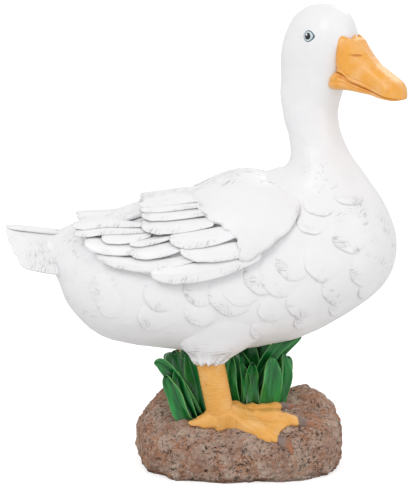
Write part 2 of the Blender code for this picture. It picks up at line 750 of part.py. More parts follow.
def remove_inner_shells(mesh):
    """Deletes the skins of the small voids between the forms, which lie inside the casting."""
    unseen = set(mesh.verts)
    shells = []
    while unseen:
        shell, edge_of_shell = set(), [unseen.pop()]
        while edge_of_shell:
            vertex = edge_of_shell.pop()
            shell.add(vertex)
            fresh = {edge.other_vert(vertex) for edge in vertex.link_edges} & unseen
            unseen -= fresh
            edge_of_shell.extend(fresh)
        shells.append(shell)
    outer = max(shells, key=len)
    inner = [vertex for vertex in mesh.verts if vertex not in outer]
    bmesh.ops.delete(mesh, geom=inner, context="VERTS")


def paint_by_form(statue, forms):
    """Each face of the casting takes the coat of the form that lies nearest under it."""
    graph = bpy.context.evaluated_depsgraph_get()
    skins = [(BVHTree.FromObject(form, graph), form.data.materials[0]) for form in forms.objects]
    coats = list(dict.fromkeys(coat for _, coat in skins))
    statue.data.materials.clear()
    for coat in coats:
        statue.data.materials.append(coat)
    for face in statue.data.polygons:
        found = ((skin.find_nearest(face.center, 0.01)[3], coat) for skin, coat in skins)
        near = [(distance, coats.index(coat)) for distance, coat in found if distance is not None]
        face.material_index = min(near)[1] if near else 0
    statue.data.shade_smooth()
    statue.data.set_sharp_from_angle(angle=math.radians(50))


def main():
    for old in list(bpy.data.objects):
        bpy.data.objects.remove(old)
    collection = bpy.data.collections.new("duck_garden_statue")
    forms = bpy.data.collections.new("forms_under_the_skin")
    forms.hide_render = True
    bpy.context.scene.collection.children.link(collection)
    bpy.context.scene.collection.children.link(forms)
    on_rock = make_rock(forms)
    make_trunk(forms)
    make_bill(forms)
    make_eyes(forms)
    make_tail(forms)
    make_back_ridge(forms)
    for side in (-1, 1):
        make_wing_core(side, forms)
        make_wing_feathers(side, forms)
        make_wing_cap(side, forms)
        make_thigh(side, forms)
        make_leg(side, on_rock, forms)
        make_foot(side, on_rock, forms)
    make_scales(forms)
    make_blades(on_rock, forms)
    statue = cast_in_one(forms, collection)
    paint_by_form(statue, forms)


main()
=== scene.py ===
# %% [markdown]
# # A painted resin duck for the garden
#
# The real statue is one hollow resin casting: a white duck on a rock, with strap-leaved grass round its
# legs. A sculptor modelled it in clay, a mould was taken from the clay, and each casting was painted by
# hand. In Blender it could be one sculpted mesh. This lesson builds it from many small closed forms, because
# a feather or a blade of grass that is its own form keeps a crisp edge, and its shape is one short rule.

import math

import bmesh
import bpy
import numpy as np
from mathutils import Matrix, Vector, noise
from mathutils.bvhtree import BVHTree


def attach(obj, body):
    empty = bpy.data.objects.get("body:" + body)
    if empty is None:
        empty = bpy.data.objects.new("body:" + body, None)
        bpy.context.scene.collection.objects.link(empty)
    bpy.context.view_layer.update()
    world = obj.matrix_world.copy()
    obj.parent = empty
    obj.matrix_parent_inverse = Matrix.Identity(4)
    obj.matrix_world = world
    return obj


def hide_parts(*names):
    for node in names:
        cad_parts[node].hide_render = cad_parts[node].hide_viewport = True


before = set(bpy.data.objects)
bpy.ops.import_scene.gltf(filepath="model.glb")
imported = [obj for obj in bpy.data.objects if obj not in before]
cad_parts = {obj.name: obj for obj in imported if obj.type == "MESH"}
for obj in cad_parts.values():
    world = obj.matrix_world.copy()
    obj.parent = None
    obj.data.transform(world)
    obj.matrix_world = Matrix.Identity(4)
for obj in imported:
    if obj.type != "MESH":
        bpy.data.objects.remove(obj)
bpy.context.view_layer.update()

# %% [markdown]
# ## One rule for every form
#
# Each form starts as a sphere from bmesh. A sphere is already closed, so pulling its points about can't open
# it. Every point has a share t, from 0 at one pole to 1 at the other, and an angle round the axis. A piece is
# then one function that turns those two numbers into a place in millimetres. numpy moves all the points at
# once, which is why the functions below take whole arrays.

# %% Small helpers for shapes
MM = 0.001


def smoothstep(low, high, value):
    """0 below low, 1 above high, and an easy rise between."""
    share = np.clip((value - low) / (high - low), 0.0, 1.0)
    return share * share * (3 - 2 * share)


def signed_power(value, power):
    return np.sign(value) * np.abs(value) ** power


def through(rows, t):
    """Columns of numbers at share t of a smooth curve through evenly spaced rows."""
    table = np.array(rows, float)
    spans = len(table) - 1
    place = np.clip(np.asarray(t, float), 0.0, 1.0) * spans
    first = np.minimum(place.astype(int), spans - 1)
    f = (place - first)[..., None]
    a, b, c, d = (table[np.clip(first + k, 0, spans)] for k in (-1, 0, 1, 2))
    curve = 2 * b + (c - a) * f + (2 * a - 5 * b + 4 * c - d) * f**2 + (3 * b - a - 3 * c + d) * f**3
    return np.moveaxis(0.5 * curve, -1, 0)


def rounded_ends(t, root_share, tip_share):
    """A width that is 1 along the middle and closes in a half round at each end."""
    root = np.sqrt(np.clip(1 - (1 - np.minimum(t / root_share, 1)) ** 2, 0, 1))
    tip = np.sqrt(np.clip(1 - (1 - np.minimum((1 - t) / tip_share, 1)) ** 2, 0, 1))
    return root * tip


def xyz(x, y, z):
    """One array of points from three columns."""
    return np.stack(np.broadcast_arrays(x, y, z), axis=-1)


def bell(distance, width):
    """1 where the distance is 0, and a smooth fall to nothing within about two widths."""
    return np.exp(-((distance / width) ** 2))


def unit(vectors):
    return vectors / np.maximum(np.linalg.norm(vectors, axis=-1, keepdims=True), 1e-9)


def grain(points, spacing, octaves):
    """Noise of about -1 to 1 at each point, whose lumps lie a spacing apart."""
    hard = (noise.fractal(Vector(p / spacing), 0.8, 2.0, octaves) for p in points)
    return np.fromiter(hard, float, len(points))


# %% [markdown]
# The next helper makes the sphere, moves its points and stores three numbers on each of them. The first
# two are distances across and along the form, so that a material can run its fine lines along a feather,
# whichever way it lies. The third is a share that the paint needs: on plumage how strongly the clay tool
# marked a place, on a blade of grass how near its edge it lies, and on a claw how near its tip.

# %% A pulled sphere
def pulled_sphere(around, along, place, lines=None):
    """A sphere pulled to place(t, angle). lines(t, angle) gives across, along and the share."""
    shape = bmesh.new()
    bmesh.ops.create_uvsphere(shape, u_segments=around, v_segments=along, radius=1)
    data = bpy.data.meshes.new("form")
    shape.to_mesh(data)
    shape.free()
    ball = np.empty(len(data.vertices) * 3)
    data.vertices.foreach_get("co", ball)
    ball = ball.reshape(-1, 3)
    t = np.arccos(np.clip(ball[:, 2], -1, 1)) / math.pi
    angle = np.arctan2(ball[:, 1], ball[:, 0])
    data.vertices.foreach_set("co", (place(t, angle) * MM).ravel())
    across, way, share = lines(t, angle) if lines else (0 * t, 0 * t, 1.0)
    store = data.attributes.new("lines", "FLOAT_VECTOR", "POINT")
    store.data.foreach_set("vector", xyz(across * MM, way * MM, share).ravel())
    return data


def in_scene(name, data):
    made = bpy.data.objects.new(name, data)
    bpy.context.scene.collection.objects.link(made)
    return made


def joined(name, meshes, material):
    """One piece of the casting's one body from several closed meshes, with its faces turned outwards."""
    whole = bmesh.new()
    for data in meshes:
        whole.from_mesh(data)
        bpy.data.meshes.remove(data)
    bmesh.ops.recalc_face_normals(whole, faces=whole.faces)
    for face in whole.faces:
        face.smooth = True
    data = bpy.data.meshes.new(name)
    whole.to_mesh(data)
    triangles = sum(len(face.verts) - 2 for face in whole.faces)
    whole.free()
    data.materials.append(material)
    piece = in_scene(name, data)
    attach(piece, "root")
    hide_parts("duck_statue")
    print(f"{name}: {triangles} triangles")
    return piece


# %% [markdown]
# ## Paints
#
# All the colours are paint over cast resin. Each colour is written as an sRGB hex value, and one function
# turns it to the linear light that the shader works in. One more function adds a node, sets its sockets and
# makes its links, so that a material reads as a short list of what was mixed with what.

# %% Colour and node helpers
def linear(colour):
    channels = [int(colour[i : i + 2], 16) / 255 for i in (1, 3, 5)]
    return [c / 12.92 if c <= 0.04045 else ((c + 0.055) / 1.055) ** 2.4 for c in channels] + [1.0]


def new_material(name, roughness, coat=0.0, ior=1.5):
    """A material with a Principled shader, and its node tree."""
    made = bpy.data.materials.new(name)
    made.use_nodes = True
    shader = made.node_tree.nodes["Principled BSDF"]
    shader.inputs["Roughness"].default_value = roughness
    shader.inputs["IOR"].default_value = ior
    shader.inputs["Coat Weight"].default_value = coat
    shader.inputs["Coat Roughness"].default_value = 0.18
    return made, made.node_tree


def feed(tree, socket, value):
    """Links a socket to another one, or sets it to a number or a hex colour."""
    if isinstance(value, bpy.types.NodeSocket):
        tree.links.new(value, socket)
    else:
        socket.default_value = linear(value) if isinstance(value, str) else value


def painted(made, colour, normal):
    """Gives a material its colour and its bump."""
    shader = made.node_tree.nodes["Principled BSDF"]
    feed(made.node_tree, shader.inputs["Base Color"], colour)
    feed(made.node_tree, shader.inputs["Normal"], normal)
    return made


def add(tree, kind, settings=None, **sockets):
    """Adds a node with its settings and feeds its sockets, which are named, or numbered as i0, i1 and i2."""
    made = tree.nodes.new(kind)
    for key, value in (settings or {}).items():
        setattr(made, key, value)
    for key, value in sockets.items():
        feed(tree, made.inputs[int(key[1:]) if key in ("i0", "i1", "i2") else key], value)
    return made


def calculated(tree, operation, **sockets):
    return add(tree, "ShaderNodeMath", {"operation": operation}, **sockets).outputs[0]


def ramp(tree, source, stops):
    """A ramp from a list of (place, grey)."""
    made = add(tree, "ShaderNodeValToRGB", Fac=source)
    elements = made.color_ramp.elements
    while len(elements) < len(stops):
        elements.new(0.5)
    for element, (place, grey) in zip(elements, stops):
        element.position = place
        element.color = (grey, grey, grey, 1)
    return made.outputs["Color"]


def mix(tree, share, first, second):
    """Mixes two colours, each a socket or a hex value."""
    made = add(tree, "ShaderNodeMix", {"data_type": "RGBA"})
    for number, value in ((0, share), (6, first), (7, second)):
        feed(tree, made.inputs[number], value)
    return made.outputs[2]


def object_noise(tree, spacing_mm, detail=4.0, roughness=0.55, distortion=0.0):
    """Noise in the statue's own space, with lumps about a spacing apart."""
    place = add(tree, "ShaderNodeTexCoord").outputs["Object"]
    made = add(tree, "ShaderNodeTexNoise", Vector=place, Scale=1 / (spacing_mm * MM), Detail=detail)
    feed(tree, made.inputs["Roughness"], roughness)
    feed(tree, made.inputs["Distortion"], distortion)
    return made.outputs["Fac"]


def stored_lines(tree):
    """The three numbers that pulled_sphere stored: X across, Y along and Z the share."""
    stored = add(tree, "ShaderNodeAttribute", {"attribute_name": "lines"}).outputs["Vector"]
    return add(tree, "ShaderNodeSeparateXYZ", Vector=stored).outputs


def line_noise(tree, width_mm, length_mm, slant=0.0):
    """Long thin streaks along a feather. slant turns them towards its edges, as barbs run."""
    across, along, _ = stored_lines(tree)
    if slant:
        side = calculated(tree, "ABSOLUTE", i0=across)
        across, along = calculated(tree, "MULTIPLY_ADD", i0=side, i1=-slant, i2=along), side
    place = add(tree, "ShaderNodeCombineXYZ", X=across, Y=along).outputs["Vector"]
    scale = (1 / (width_mm * MM), 1 / (length_mm * MM), 1)
    placed = add(tree, "ShaderNodeMapping", Scale=scale, Vector=place).outputs["Vector"]
    return add(tree, "ShaderNodeTexNoise", Scale=1.0, Detail=2.0, Vector=placed).outputs["Fac"]


def times(tree, first, second):
    return calculated(tree, "MULTIPLY", i0=first, i1=second)


def shade_and_wash_in_creases(tree, reach_mm, share):
    """Painted shade: darker where other surfaces stand close by, in every crease. On the plumage it also
    stands for the thin paint that fills the creases.
    """
    hollow = add(tree, "ShaderNodeAmbientOcclusion", {"samples": 8}, Distance=reach_mm * MM)
    return ramp(tree, hollow.outputs["AO"], [(0.3, share), (0.8, 0.0)])


def bump(tree, height, depth_mm, under=None):
    """A bump whose black to white is a depth in millimetres, over another bump if there is one."""
    lower = {"Normal": under} if under else {}
    return add(tree, "ShaderNodeBump", Distance=depth_mm * MM, Height=height, **lower).outputs["Normal"]


print("helpers ready")

# %% [markdown]
# ### White satin enamel
#
# The plumage is sprayed white and dries to a soft sheen. The clay tool left fine strokes near the feathers'
# edges, and a thin grey wash lies in them and in the creases between the feathers. The same streaks
# therefore drive both the bump and a slight grey. A second grey is painted shade: it asks how closely other
# surfaces stand by, and it stands for the wash in the creases too.

# %% White paints
def white_enamel(name, line_depth, slant, wash, crease_shade_and_wash):
    """line_depth is in millimetres. wash says how grey the strokes get. The last share says how grey the
    creases get, a painted shade that also stands for the wash in them.
    """
    made, tree = new_material(name, 0.42, 0.1)
    streaks = line_noise(tree, 1.2, 8.0, slant)
    patches = object_noise(tree, 17.0)
    grit = object_noise(tree, 1.6, detail=2.0)
    shown = times(tree, ramp(tree, patches, [(0.42, 0.15), (0.6, 1.0)]), stored_lines(tree)["Z"])
    cuts = mix(tree, shown, (0.5, 0.5, 0.5, 1), ramp(tree, streaks, [(0.3, 0.0), (0.5, 0.5), (0.7, 1.0)]))
    tone = mix(tree, patches, "#F8F8F9", "#F1F0F2")
    tone = mix(tree, ramp(tree, cuts, [(0.18, wash), (0.4, 0.0)]), tone, "#A69E98")
    # Painted shade in the creases, where other surfaces stand close; on the white it also stands for the grey
    # wash that lies there.
    tone = mix(tree, shade_and_wash_in_creases(tree, 4.0, crease_shade_and_wash), tone, "#958E88")
    return painted(made, tone, bump(tree, cuts, line_depth, bump(tree, grit, 0.05)))


ON_FEATHERS = dict(line_depth=0.5, slant=0.75, wash=0.55, crease_shade_and_wash=0.48)
ON_SMOOTH_BODY = dict(line_depth=0.25, slant=0.0, wash=0.5, crease_shade_and_wash=0.45)
ON_HAIR = dict(line_depth=0.7, slant=0.1, wash=0.65, crease_shade_and_wash=0.45)
feather_white = white_enamel("white satin enamel on carved feathers", **ON_FEATHERS)
body_white = white_enamel("white satin enamel on smooth resin", **ON_SMOOTH_BODY)
hair_white = white_enamel("white satin enamel on straight hair lines", **ON_HAIR)
print("white paints:", ", ".join(m.name for m in (feather_white, body_white, hair_white)))

# %% [markdown]
# ### Bill, legs, claws, leaves and rock
#
# Bill and legs are an orange enamel that pools darker in the grooves, and the same dark is laid into their
# creases as painted shade. The claws are a matt horn. The leaves are a deep green gloss with a thin pale
# edge, and painted shade darkens them between the blades. The rock has a brown wash over a gritty cast
# surface, with rusty and pink patches, painted shade in its crevices, and a dry brush of pale paint on the
# grit that stands highest.

# %% Orange, horn, green and rock paints
def orange_enamel(name, base, light, dark, roughness, cut_mm, drawn=False):
    """drawn: the cuts are lines that the clay tool drew along the form."""
    made, tree = new_material(name, roughness, 0.08, 1.38)
    clouds = object_noise(tree, 16.0)
    cuts = line_noise(tree, cut_mm, 6 * cut_mm) if drawn else object_noise(tree, cut_mm, detail=3.0)
    tone = mix(tree, ramp(tree, clouds, [(0.42, 0.0), (0.7, 0.8)]), base, light)
    tone = mix(tree, ramp(tree, cuts, [(0.25, 0.35), (0.42, 0.0)]), tone, dark)
    # Painted shade: the dark is laid where other surfaces stand close, in the creases.
    tone = mix(tree, shade_and_wash_in_creases(tree, 2.4, 0.6), tone, dark)
    return painted(made, tone, bump(tree, cuts, 0.4 if drawn else 0.2))


BILL_COLOURS, LEG_COLOURS = ("#F6AE4C", "#FAC588", "#B8702A"), ("#F0B058", "#F6C27A", "#AA6E2C")
bill_orange = orange_enamel("orange gloss enamel", *BILL_COLOURS, 0.3, 5.0)
leg_orange = orange_enamel("yellow-orange satin enamel", *LEG_COLOURS, 0.42, 1.3, drawn=True)


def horn_paint():
    """Grey-brown horn that turns rusty towards the claw's tip."""
    made, tree = new_material("horn-brown matt paint", 0.5)
    horn = mix(tree, object_noise(tree, 5.0), "#5E504B", "#A08A7E")
    rusty_tip = ramp(tree, stored_lines(tree)["Z"], [(0.4, 0.0), (0.85, 0.85)])
    return painted(made, mix(tree, rusty_tip, horn, "#B06A40"), bump(tree, object_noise(tree, 1.5), 0.2))


def leaf_gloss():
    """A brushed green, painted darker between the blades as shade, with a thin pale edge along each."""
    made, tree = new_material("deep green gloss enamel", 0.2, 0.25, 1.45)
    brushed = ramp(tree, line_noise(tree, 5.0, 40.0), [(0.36, 0.0), (0.64, 1.0)])
    body = mix(tree, brushed, "#10602A", "#26903F")
    # Painted shade between the blades, where they stand close to each other.
    body = mix(tree, shade_and_wash_in_creases(tree, 9.0, 0.85), body, "#02280C")
    edge = ramp(tree, stored_lines(tree)["Z"], [(0.86, 0.0), (0.98, 0.8)])
    return painted(made, mix(tree, edge, body, "#7FC274"), bump(tree, line_noise(tree, 1.4, 22.0), 0.35))


def rock_wash():
    """Pinkish stone with rusty patches, dark pits in clusters and pale grit."""
    made, tree = new_material("brown wash over cast rock", 0.85, ior=1.35)
    broad = object_noise(tree, 24.0)
    rusty = object_noise(tree, 19.0, distortion=1.2)
    clusters = object_noise(tree, 15.0, detail=5.0, distortion=0.6)
    grit = object_noise(tree, 2.6, detail=6.0, roughness=0.75)
    pits = object_noise(tree, 3.2, detail=7.0, roughness=0.8)
    stone = mix(tree, ramp(tree, broad, [(0.38, 0.0), (0.62, 1.0)]), "#C69C86", "#EED2BE")
    stone = mix(tree, ramp(tree, rusty, [(0.46, 0.0), (0.62, 0.75)]), stone, "#CC8C66")
    clustered = ramp(tree, clusters, [(0.42, 0.3), (0.54, 1.0)])
    pitted = times(tree, ramp(tree, pits, [(0.42, 1.0), (0.5, 0.0)]), clustered)
    stone = mix(tree, pitted, stone, "#3A2A22")
    stone = mix(tree, ramp(tree, grit, [(0.54, 0.0), (0.64, 0.9)]), stone, "#F2E4DA")
    # Painted shade: the crevices turn dark brown where other surfaces stand close.
    stone = mix(tree, shade_and_wash_in_creases(tree, 7.0, 0.5), stone, "#4A362C")
    return painted(made, stone, bump(tree, grit, 1.8, bump(tree, pits, 3.0)))


claw_horn = horn_paint()
leaf_green = leaf_gloss()
rock_brown = rock_wash()
print("paints:", ", ".join(m.name for m in (bill_orange, leg_orange, claw_horn, leaf_green, rock_brown)))

# %% [markdown]
# ## The rock
#
# The base imitates a fieldstone. It could be displaced by a texture, but then the feet wouldn't know where
# its surface is. Here the lumps are worked out in code, the finished mesh goes into a search tree, and the
# feet and the grass ask that tree for the height of the ground under them. The underside is cut flat.

# %% Rock
ROCK_LENGTH, ROCK_DEPTH, ROCK_HEIGHT = 184.0, 146.0, 53.0
ROCK_BULGE_HEIGHT = 24.0
ROCK_LUMP, ROCK_LUMP_SPACING = 4.2, 30.0
ROCK_FLATNESS, ROCK_SQUARENESS = 0.55, 0.75
ROCK_NEAR_FALL = 0.5
# x, y, rise and radius of the knoll in front, the one behind and the low one under the near toes.
KNOLLS = ((62.0, 26.0, 15.0, 26.0), (-67.0, 16.0, 15.0, 23.0), (10.0, -52.0, 5.0, 28.0))
ROCK_CRAG, ROCK_CRAG_SPACING = 2.2, 6.5
CUT_MARGIN = 14.0


def rock_point(t, angle):
    """The rock before its lumps: a squared, flattened sphere that falls away towards the near side."""
    level = np.cos(t * math.pi)
    ring = np.sin(t * math.pi) ** ROCK_FLATNESS
    x = ROCK_LENGTH / 2 * ring * signed_power(np.cos(angle), ROCK_SQUARENESS)
    y = ROCK_DEPTH / 2 * ring * signed_power(np.sin(angle), ROCK_SQUARENESS)
    fall = ROCK_NEAR_FALL * smoothstep(0.15, 1.0, -2 * y / ROCK_DEPTH)
    rise = (ROCK_HEIGHT - ROCK_BULGE_HEIGHT) * (1 - fall)
    for knoll_x, knoll_y, knoll_rise, radius in KNOLLS:
        rise = rise + knoll_rise * np.exp(-((x - knoll_x) ** 2 + (y - knoll_y) ** 2) / radius**2)
    depth = np.where(level > 0, rise, ROCK_BULGE_HEIGHT + CUT_MARGIN)
    return xyz(x, y, ROCK_BULGE_HEIGHT + depth * signed_power(level, ROCK_FLATNESS))


def place_rock(t, angle):
    points = rock_point(t, angle)
    lumps = np.array([noise.noise(Vector(p / ROCK_LUMP_SPACING)) for p in points])
    lumps += 0.5 * np.array([noise.noise(Vector(p * 2.3 / ROCK_LUMP_SPACING)) for p in points])
    crags = grain(points, ROCK_CRAG_SPACING, 5)
    outward = unit(points - np.array([0, 0, ROCK_BULGE_HEIGHT]))
    return points + outward * (ROCK_LUMP * lumps + ROCK_CRAG * crags)[:, None]


def cut_flat(data):
    """Cuts the mesh at the ground and closes it with one flat face."""
    shape = bmesh.new()
    shape.from_mesh(data)
    every = shape.verts[:] + shape.edges[:] + shape.faces[:]
    plane = dict(plane_co=(0, 0, 0), plane_no=(0, 0, -1), clear_outer=True)
    cut = bmesh.ops.bisect_plane(shape, geom=every, dist=1e-6, **plane)
    rim = [edge for edge in cut["geom_cut"] if isinstance(edge, bmesh.types.BMEdge)]
    bmesh.ops.contextual_create(shape, geom=rim)
    shape.to_mesh(data)
    shape.free()
    return data


rock = joined("rock", [cut_flat(pulled_sphere(330, 200, place_rock))], rock_brown)
rock_skin = BVHTree.FromObject(rock, bpy.context.evaluated_depsgraph_get())


def on_rock(x, y, lift):
    """Points of the rock's upper skin under each x and y, raised by a lift."""
    down = Vector((0, 0, -1))
    rays = (rock_skin.ray_cast(Vector((a, b, 120.0)) * MM, down)[0] for a, b in zip(x, y))
    return xyz(x, y, np.array([hit.z / MM if hit else 0.0 for hit in rays]) + lift)


# %% [markdown]
# ## Body, neck and head
#
# One form runs from the tail to the crown. Its table lists the back line and the front line in the side view,
# with the half width between them, and the form is an oval at every row. The head of the real duck looks a
# little towards us, so the neck twists and carries the head round with it.

# %% Trunk
PERCH_RISE = 10.0
HEAD_TURN = math.radians(35)
NECK_AXIS_X = 62.0
TWIST_START, TWIST_END = 240.0, 290.0
BELLY_FULLNESS = 0.12
# Back x and z, front x and z, half width, from the tail's root to the crown.
TRUNK = (
    (-194, 150, -194, 142, 1), (-182, 152, -182, 128, 12), (-166, 151, -166, 112, 21),
    (-152, 158, -154, 84, 37), (-128, 163, -128, 59, 54), (-94, 169, -95, 50, 67),
    (-58, 179, -58, 45.5, 73), (-22, 191, -22, 44, 76), (8, 200, 18, 48, 75),
    (30, 208, 56, 57, 72), (40, 211, 97, 78, 67), (44, 217, 131, 106, 60),
    (45, 224, 141, 139, 52), (44, 232, 133, 170, 43), (42, 242, 115, 199, 34),
    (39, 252, 98, 223, 28), (37, 264, 89, 244, 24.5), (35, 276, 87, 262, 23),
    (34, 289, 92, 279, 23), (33, 302, 99, 297, 24), (34, 313, 103, 311, 25),
    (37, 326, 107, 325, 24.5), (42, 337, 106, 337, 22), (49, 347, 101, 347, 17),
    (60, 354, 92, 354, 9.5), (75, 357, 78, 357, 1),
)


def above_perch(x, y, z):
    """The duck's own heights count from a little above the rock's crown."""
    return xyz(x, y, z + ROCK_HEIGHT + PERCH_RISE)


def turned(points, share=1.0):
    """Points of the head after it turns about the neck's upright axis."""
    turn = -HEAD_TURN * share
    x, y = points[:, 0] - NECK_AXIS_X, points[:, 1]
    along, across = x * np.cos(turn) - y * np.sin(turn), x * np.sin(turn) + y * np.cos(turn)
    return xyz(along + NECK_AXIS_X, across, points[:, 2])


def trunk_point(t, angle):
    back_x, back_z, front_x, front_z, half_width = through(TRUNK, t)
    share = 0.5 + 0.5 * (BELLY_FULLNESS * np.sin(angle) ** 2 - np.cos(angle))
    x = back_x + (front_x - back_x) * share
    z = back_z + (front_z - back_z) * share
    twist = smoothstep(TWIST_START, TWIST_END, (back_z + front_z) / 2)
    return turned(above_perch(x, half_width * np.sin(angle), z), twist)


def place_trunk(t, angle):
    """The trunk with the slight unevenness that a hand leaves in clay."""
    points = trunk_point(t, angle)
    middle = trunk_point(t, angle + math.pi)
    uneven = grain(points, 22.0, 2) * 0.5 + grain(points, 7.0, 2) * 0.16
    return points + unit(points - middle) * uneven[:, None]


def trunk_lines(t, angle):
    """Its lines run from head to tail, and the tool cut them mostly at the rump and round the neck's foot."""
    half_width = through(TRUNK, t)[4]
    marked = 0.22 + 0.45 * (1 - smoothstep(0.1, 0.3, t)) + 0.8 * bell(t - 0.49, 0.05)
    return half_width * angle, t * 640.0, marked


trunk_form = pulled_sphere(250, 380, place_trunk, trunk_lines)
trunk = joined("body_neck_and_head", [trunk_form], body_white)

# %% [markdown]
# ## Bill
#
# The bill is two shells that meet in a mouth line. Its table runs from inside the head to the rounded tip,
# with the top, the mouth and the chin at each place. The cross-section is a rounded box above, so the sides
# stand up at the root and spread flat at the tip.

# %% Bill
# x, top, mouth and half width of the upper bill, chin and half width of the lower one.
BILL = (
    (95, 322, 300, 11, 282, 14.5), (103, 333, 300, 17.2, 282.5, 16.5),
    (108, 333, 297.5, 17.5, 282.5, 15.5), (113, 328, 293, 16, 282, 13.5),
    (121, 318, 290, 14.5, 281, 12.5), (130, 308, 287, 14, 280, 12),
    (138.5, 302, 284, 14.5, 278, 12), (147, 296.5, 281.5, 15.5, 277, 12),
    (153.5, 291.5, 280.5, 13.5, 276.5, 10), (159, 284, 279.5, 4, 277.5, 3),
)
NOSTRIL_X, NOSTRIL_Z = 117.0, 314.5
NOSTRIL_LENGTH, NOSTRIL_HEIGHT, NOSTRIL_DEPTH = 4.6, 0.9, 2.0
RIM_BACK, RIM_UP, RIM_LENGTH, RIM_HEIGHT, RIM_RISE = 1.0, 2.4, 6.5, 1.6, 0.5
ROOT_NOTCH, ROOT_NOTCH_SIDE, ROOT_NOTCH_HALF_WIDTH = 10.0, 6.0, 4.6
ROOT_LEAN = 5.0
GROOVE_ABOVE_MOUTH, GROOVE_HALF_WIDTH, GROOVE_DEPTH = 2.4, 0.6, 0.8
LOWER_GROOVES, LOWER_GROOVE_SHARE = (0.74, 0.46), 0.05
LOWER_LOBE_BACK = 5.5


def place_upper_bill(t, angle):
    """The root is squarer than the tip and has two notches, where the forehead's feathers run into it."""
    x, top, mouth, half_width, _, _ = through(BILL, t)
    root = 1 - smoothstep(104, 120, x)
    dome, height = np.sin(angle), np.abs(np.sin(angle))
    around = np.sign(np.cos(angle)) * np.sqrt(np.clip(1 - height ** (2 / (0.85 - 0.3 * root)), 0, 1))
    side = half_width * np.sign(around) * np.abs(around) ** (0.6 - 0.22 * root)
    z = np.where(dome > 0, mouth + (top - mouth) * height, mouth - 1.5 * height)
    notch = bell(np.abs(side) - ROOT_NOTCH_SIDE, ROOT_NOTCH_HALF_WIDTH)
    z = z - ROOT_NOTCH * notch * (1 - smoothstep(104, 114, x)) * smoothstep(0.8, 0.95, dome)
    ahead, over = x - NOSTRIL_X, z - NOSTRIL_Z
    hole = np.exp(-(((ahead / NOSTRIL_LENGTH) ** 2 + (over / NOSTRIL_HEIGHT) ** 2) ** 2))
    rim = bell(ahead + RIM_BACK, RIM_LENGTH) * bell(over - RIM_UP, RIM_HEIGHT)
    groove = bell(z - mouth - GROOVE_ABOVE_MOUTH, GROOVE_HALF_WIDTH) * (dome > 0)
    groove = groove * (1 - smoothstep(0.6, 0.8, t))
    side = side - np.sign(side) * (NOSTRIL_DEPTH * hole - RIM_RISE * rim + GROOVE_DEPTH * groove)
    lean = ROOT_LEAN * height * (1 - smoothstep(102, 114, x)) * (dome > 0)
    return turned(above_perch(x - lean, side, z))


def place_lower_bill(t, angle):
    x, _, mouth, _, chin, half_width = through(BILL, t)
    side = half_width * signed_power(np.cos(angle), 0.6)
    share = 0.5 + 0.5 * signed_power(np.sin(angle), 0.8)
    grooves = sum(bell(share - line, LOWER_GROOVE_SHARE) for line in LOWER_GROOVES)
    side = side - np.sign(side) * GROOVE_DEPTH * grooves * (1 - smoothstep(0.5, 0.7, t))
    lobe = LOWER_LOBE_BACK * (1 - smoothstep(0.0, 0.3, t))
    return turned(above_perch(x - 1.5 * t - lobe, side, chin + (mouth - chin) * share))


upper = pulled_sphere(320, 190, place_upper_bill)
lower = pulled_sphere(180, 120, place_lower_bill)
joined("bill", [upper, lower], bill_orange)

# %% [markdown]
# ## Eyes
#
# The eyes are painted, but a painted ring has a raised edge, so each ring is its own low dome: a dark
# blue-grey rim that comes to a point in front, a pale ring inside it, and a black pupil with a small glint,
# which is a painted highlight.

# %% Eyes
EYE_X, EYE_Z = 74.5, 330.0
GLINT_BACK, GLINT_UP = 1.1, 1.3


def plain_paint(name, colour, roughness):
    made, tree = new_material(name, roughness, 0.3)
    return painted(made, colour, bump(tree, object_noise(tree, 1.2), 0.08))


# Name, half length, half height, how far its front is drawn out, base and rise above the skin, and paint.
EYE_RINGS = (
    ("eye_rim", 5.1, 5.1, 1.8, -0.1, 0.8, plain_paint("blue-grey eye line", "#465C69", 0.4)),
    ("eye_white", 4.2, 4.3, 0.9, 0.4, 0.6, plain_paint("pale blue eye paint", "#D3DFE4", 0.3)),
    ("eye_pupil", 3.0, 3.0, 0.0, 0.85, 0.5, plain_paint("black gloss eye paint", "#10161C", 0.12)),
    # The glint is a painted highlight: a small white dome up and behind the pupil's middle.
    ("eye_painted_highlight", 0.8, 0.9, 0.0, 1.3, 0.2, plain_paint("white paint of the eye's painted highlight", "#E8EEF2", 0.2)),
)
head_skin = BVHTree.FromObject(trunk, bpy.context.evaluated_depsgraph_get())


def on_head(x, z, side, lift):
    """Points of the head's skin at x and z, as seen square from its side, raised by a lift."""
    start = turned(above_perch(x, side * 60.0, z))
    inward = np.array([-side * math.sin(HEAD_TURN), -side * math.cos(HEAD_TURN), 0])
    reach = [head_skin.ray_cast(Vector(p) * MM, Vector(inward))[3] / MM for p in start]
    return start + inward * (np.array(reach) - lift)[:, None]


for name, half_length, half_height, point_front, base, rise, paint in EYE_RINGS:
    domes = []
    for side in (-1, 1):

        def place_ring(t, angle):
            ring = np.sin(t * math.pi)
            front = np.maximum(np.cos(angle), 0) ** 6
            x = EYE_X + ring * (half_length * np.cos(angle) + point_front * front)
            z = EYE_Z + ring * half_height * np.sin(angle)
            if name == "eye_painted_highlight":
                x, z = x - GLINT_BACK, z + GLINT_UP
            return on_head(x, z, side, base + rise * np.cos(t * math.pi))

        domes.append(pulled_sphere(48, 24, place_ring))
    joined(name + "s", domes, paint)

# %% [markdown]
# ## Wings
#
# A folded wing is a smooth shoulder with rows of feathers behind it. The feathers could be cut into the wing
# as grooves, but on the real casting every feather tip stands over the next one and throws a thin shadow. So
# each feather is a thin plate that lies on one curved surface, sinks in at its root and lifts at its tip, and
# tilts so that its lower edge stands proud.

# %% Wing surface
WING_FRONT_X, WING_STEP = 60.0, 25.0
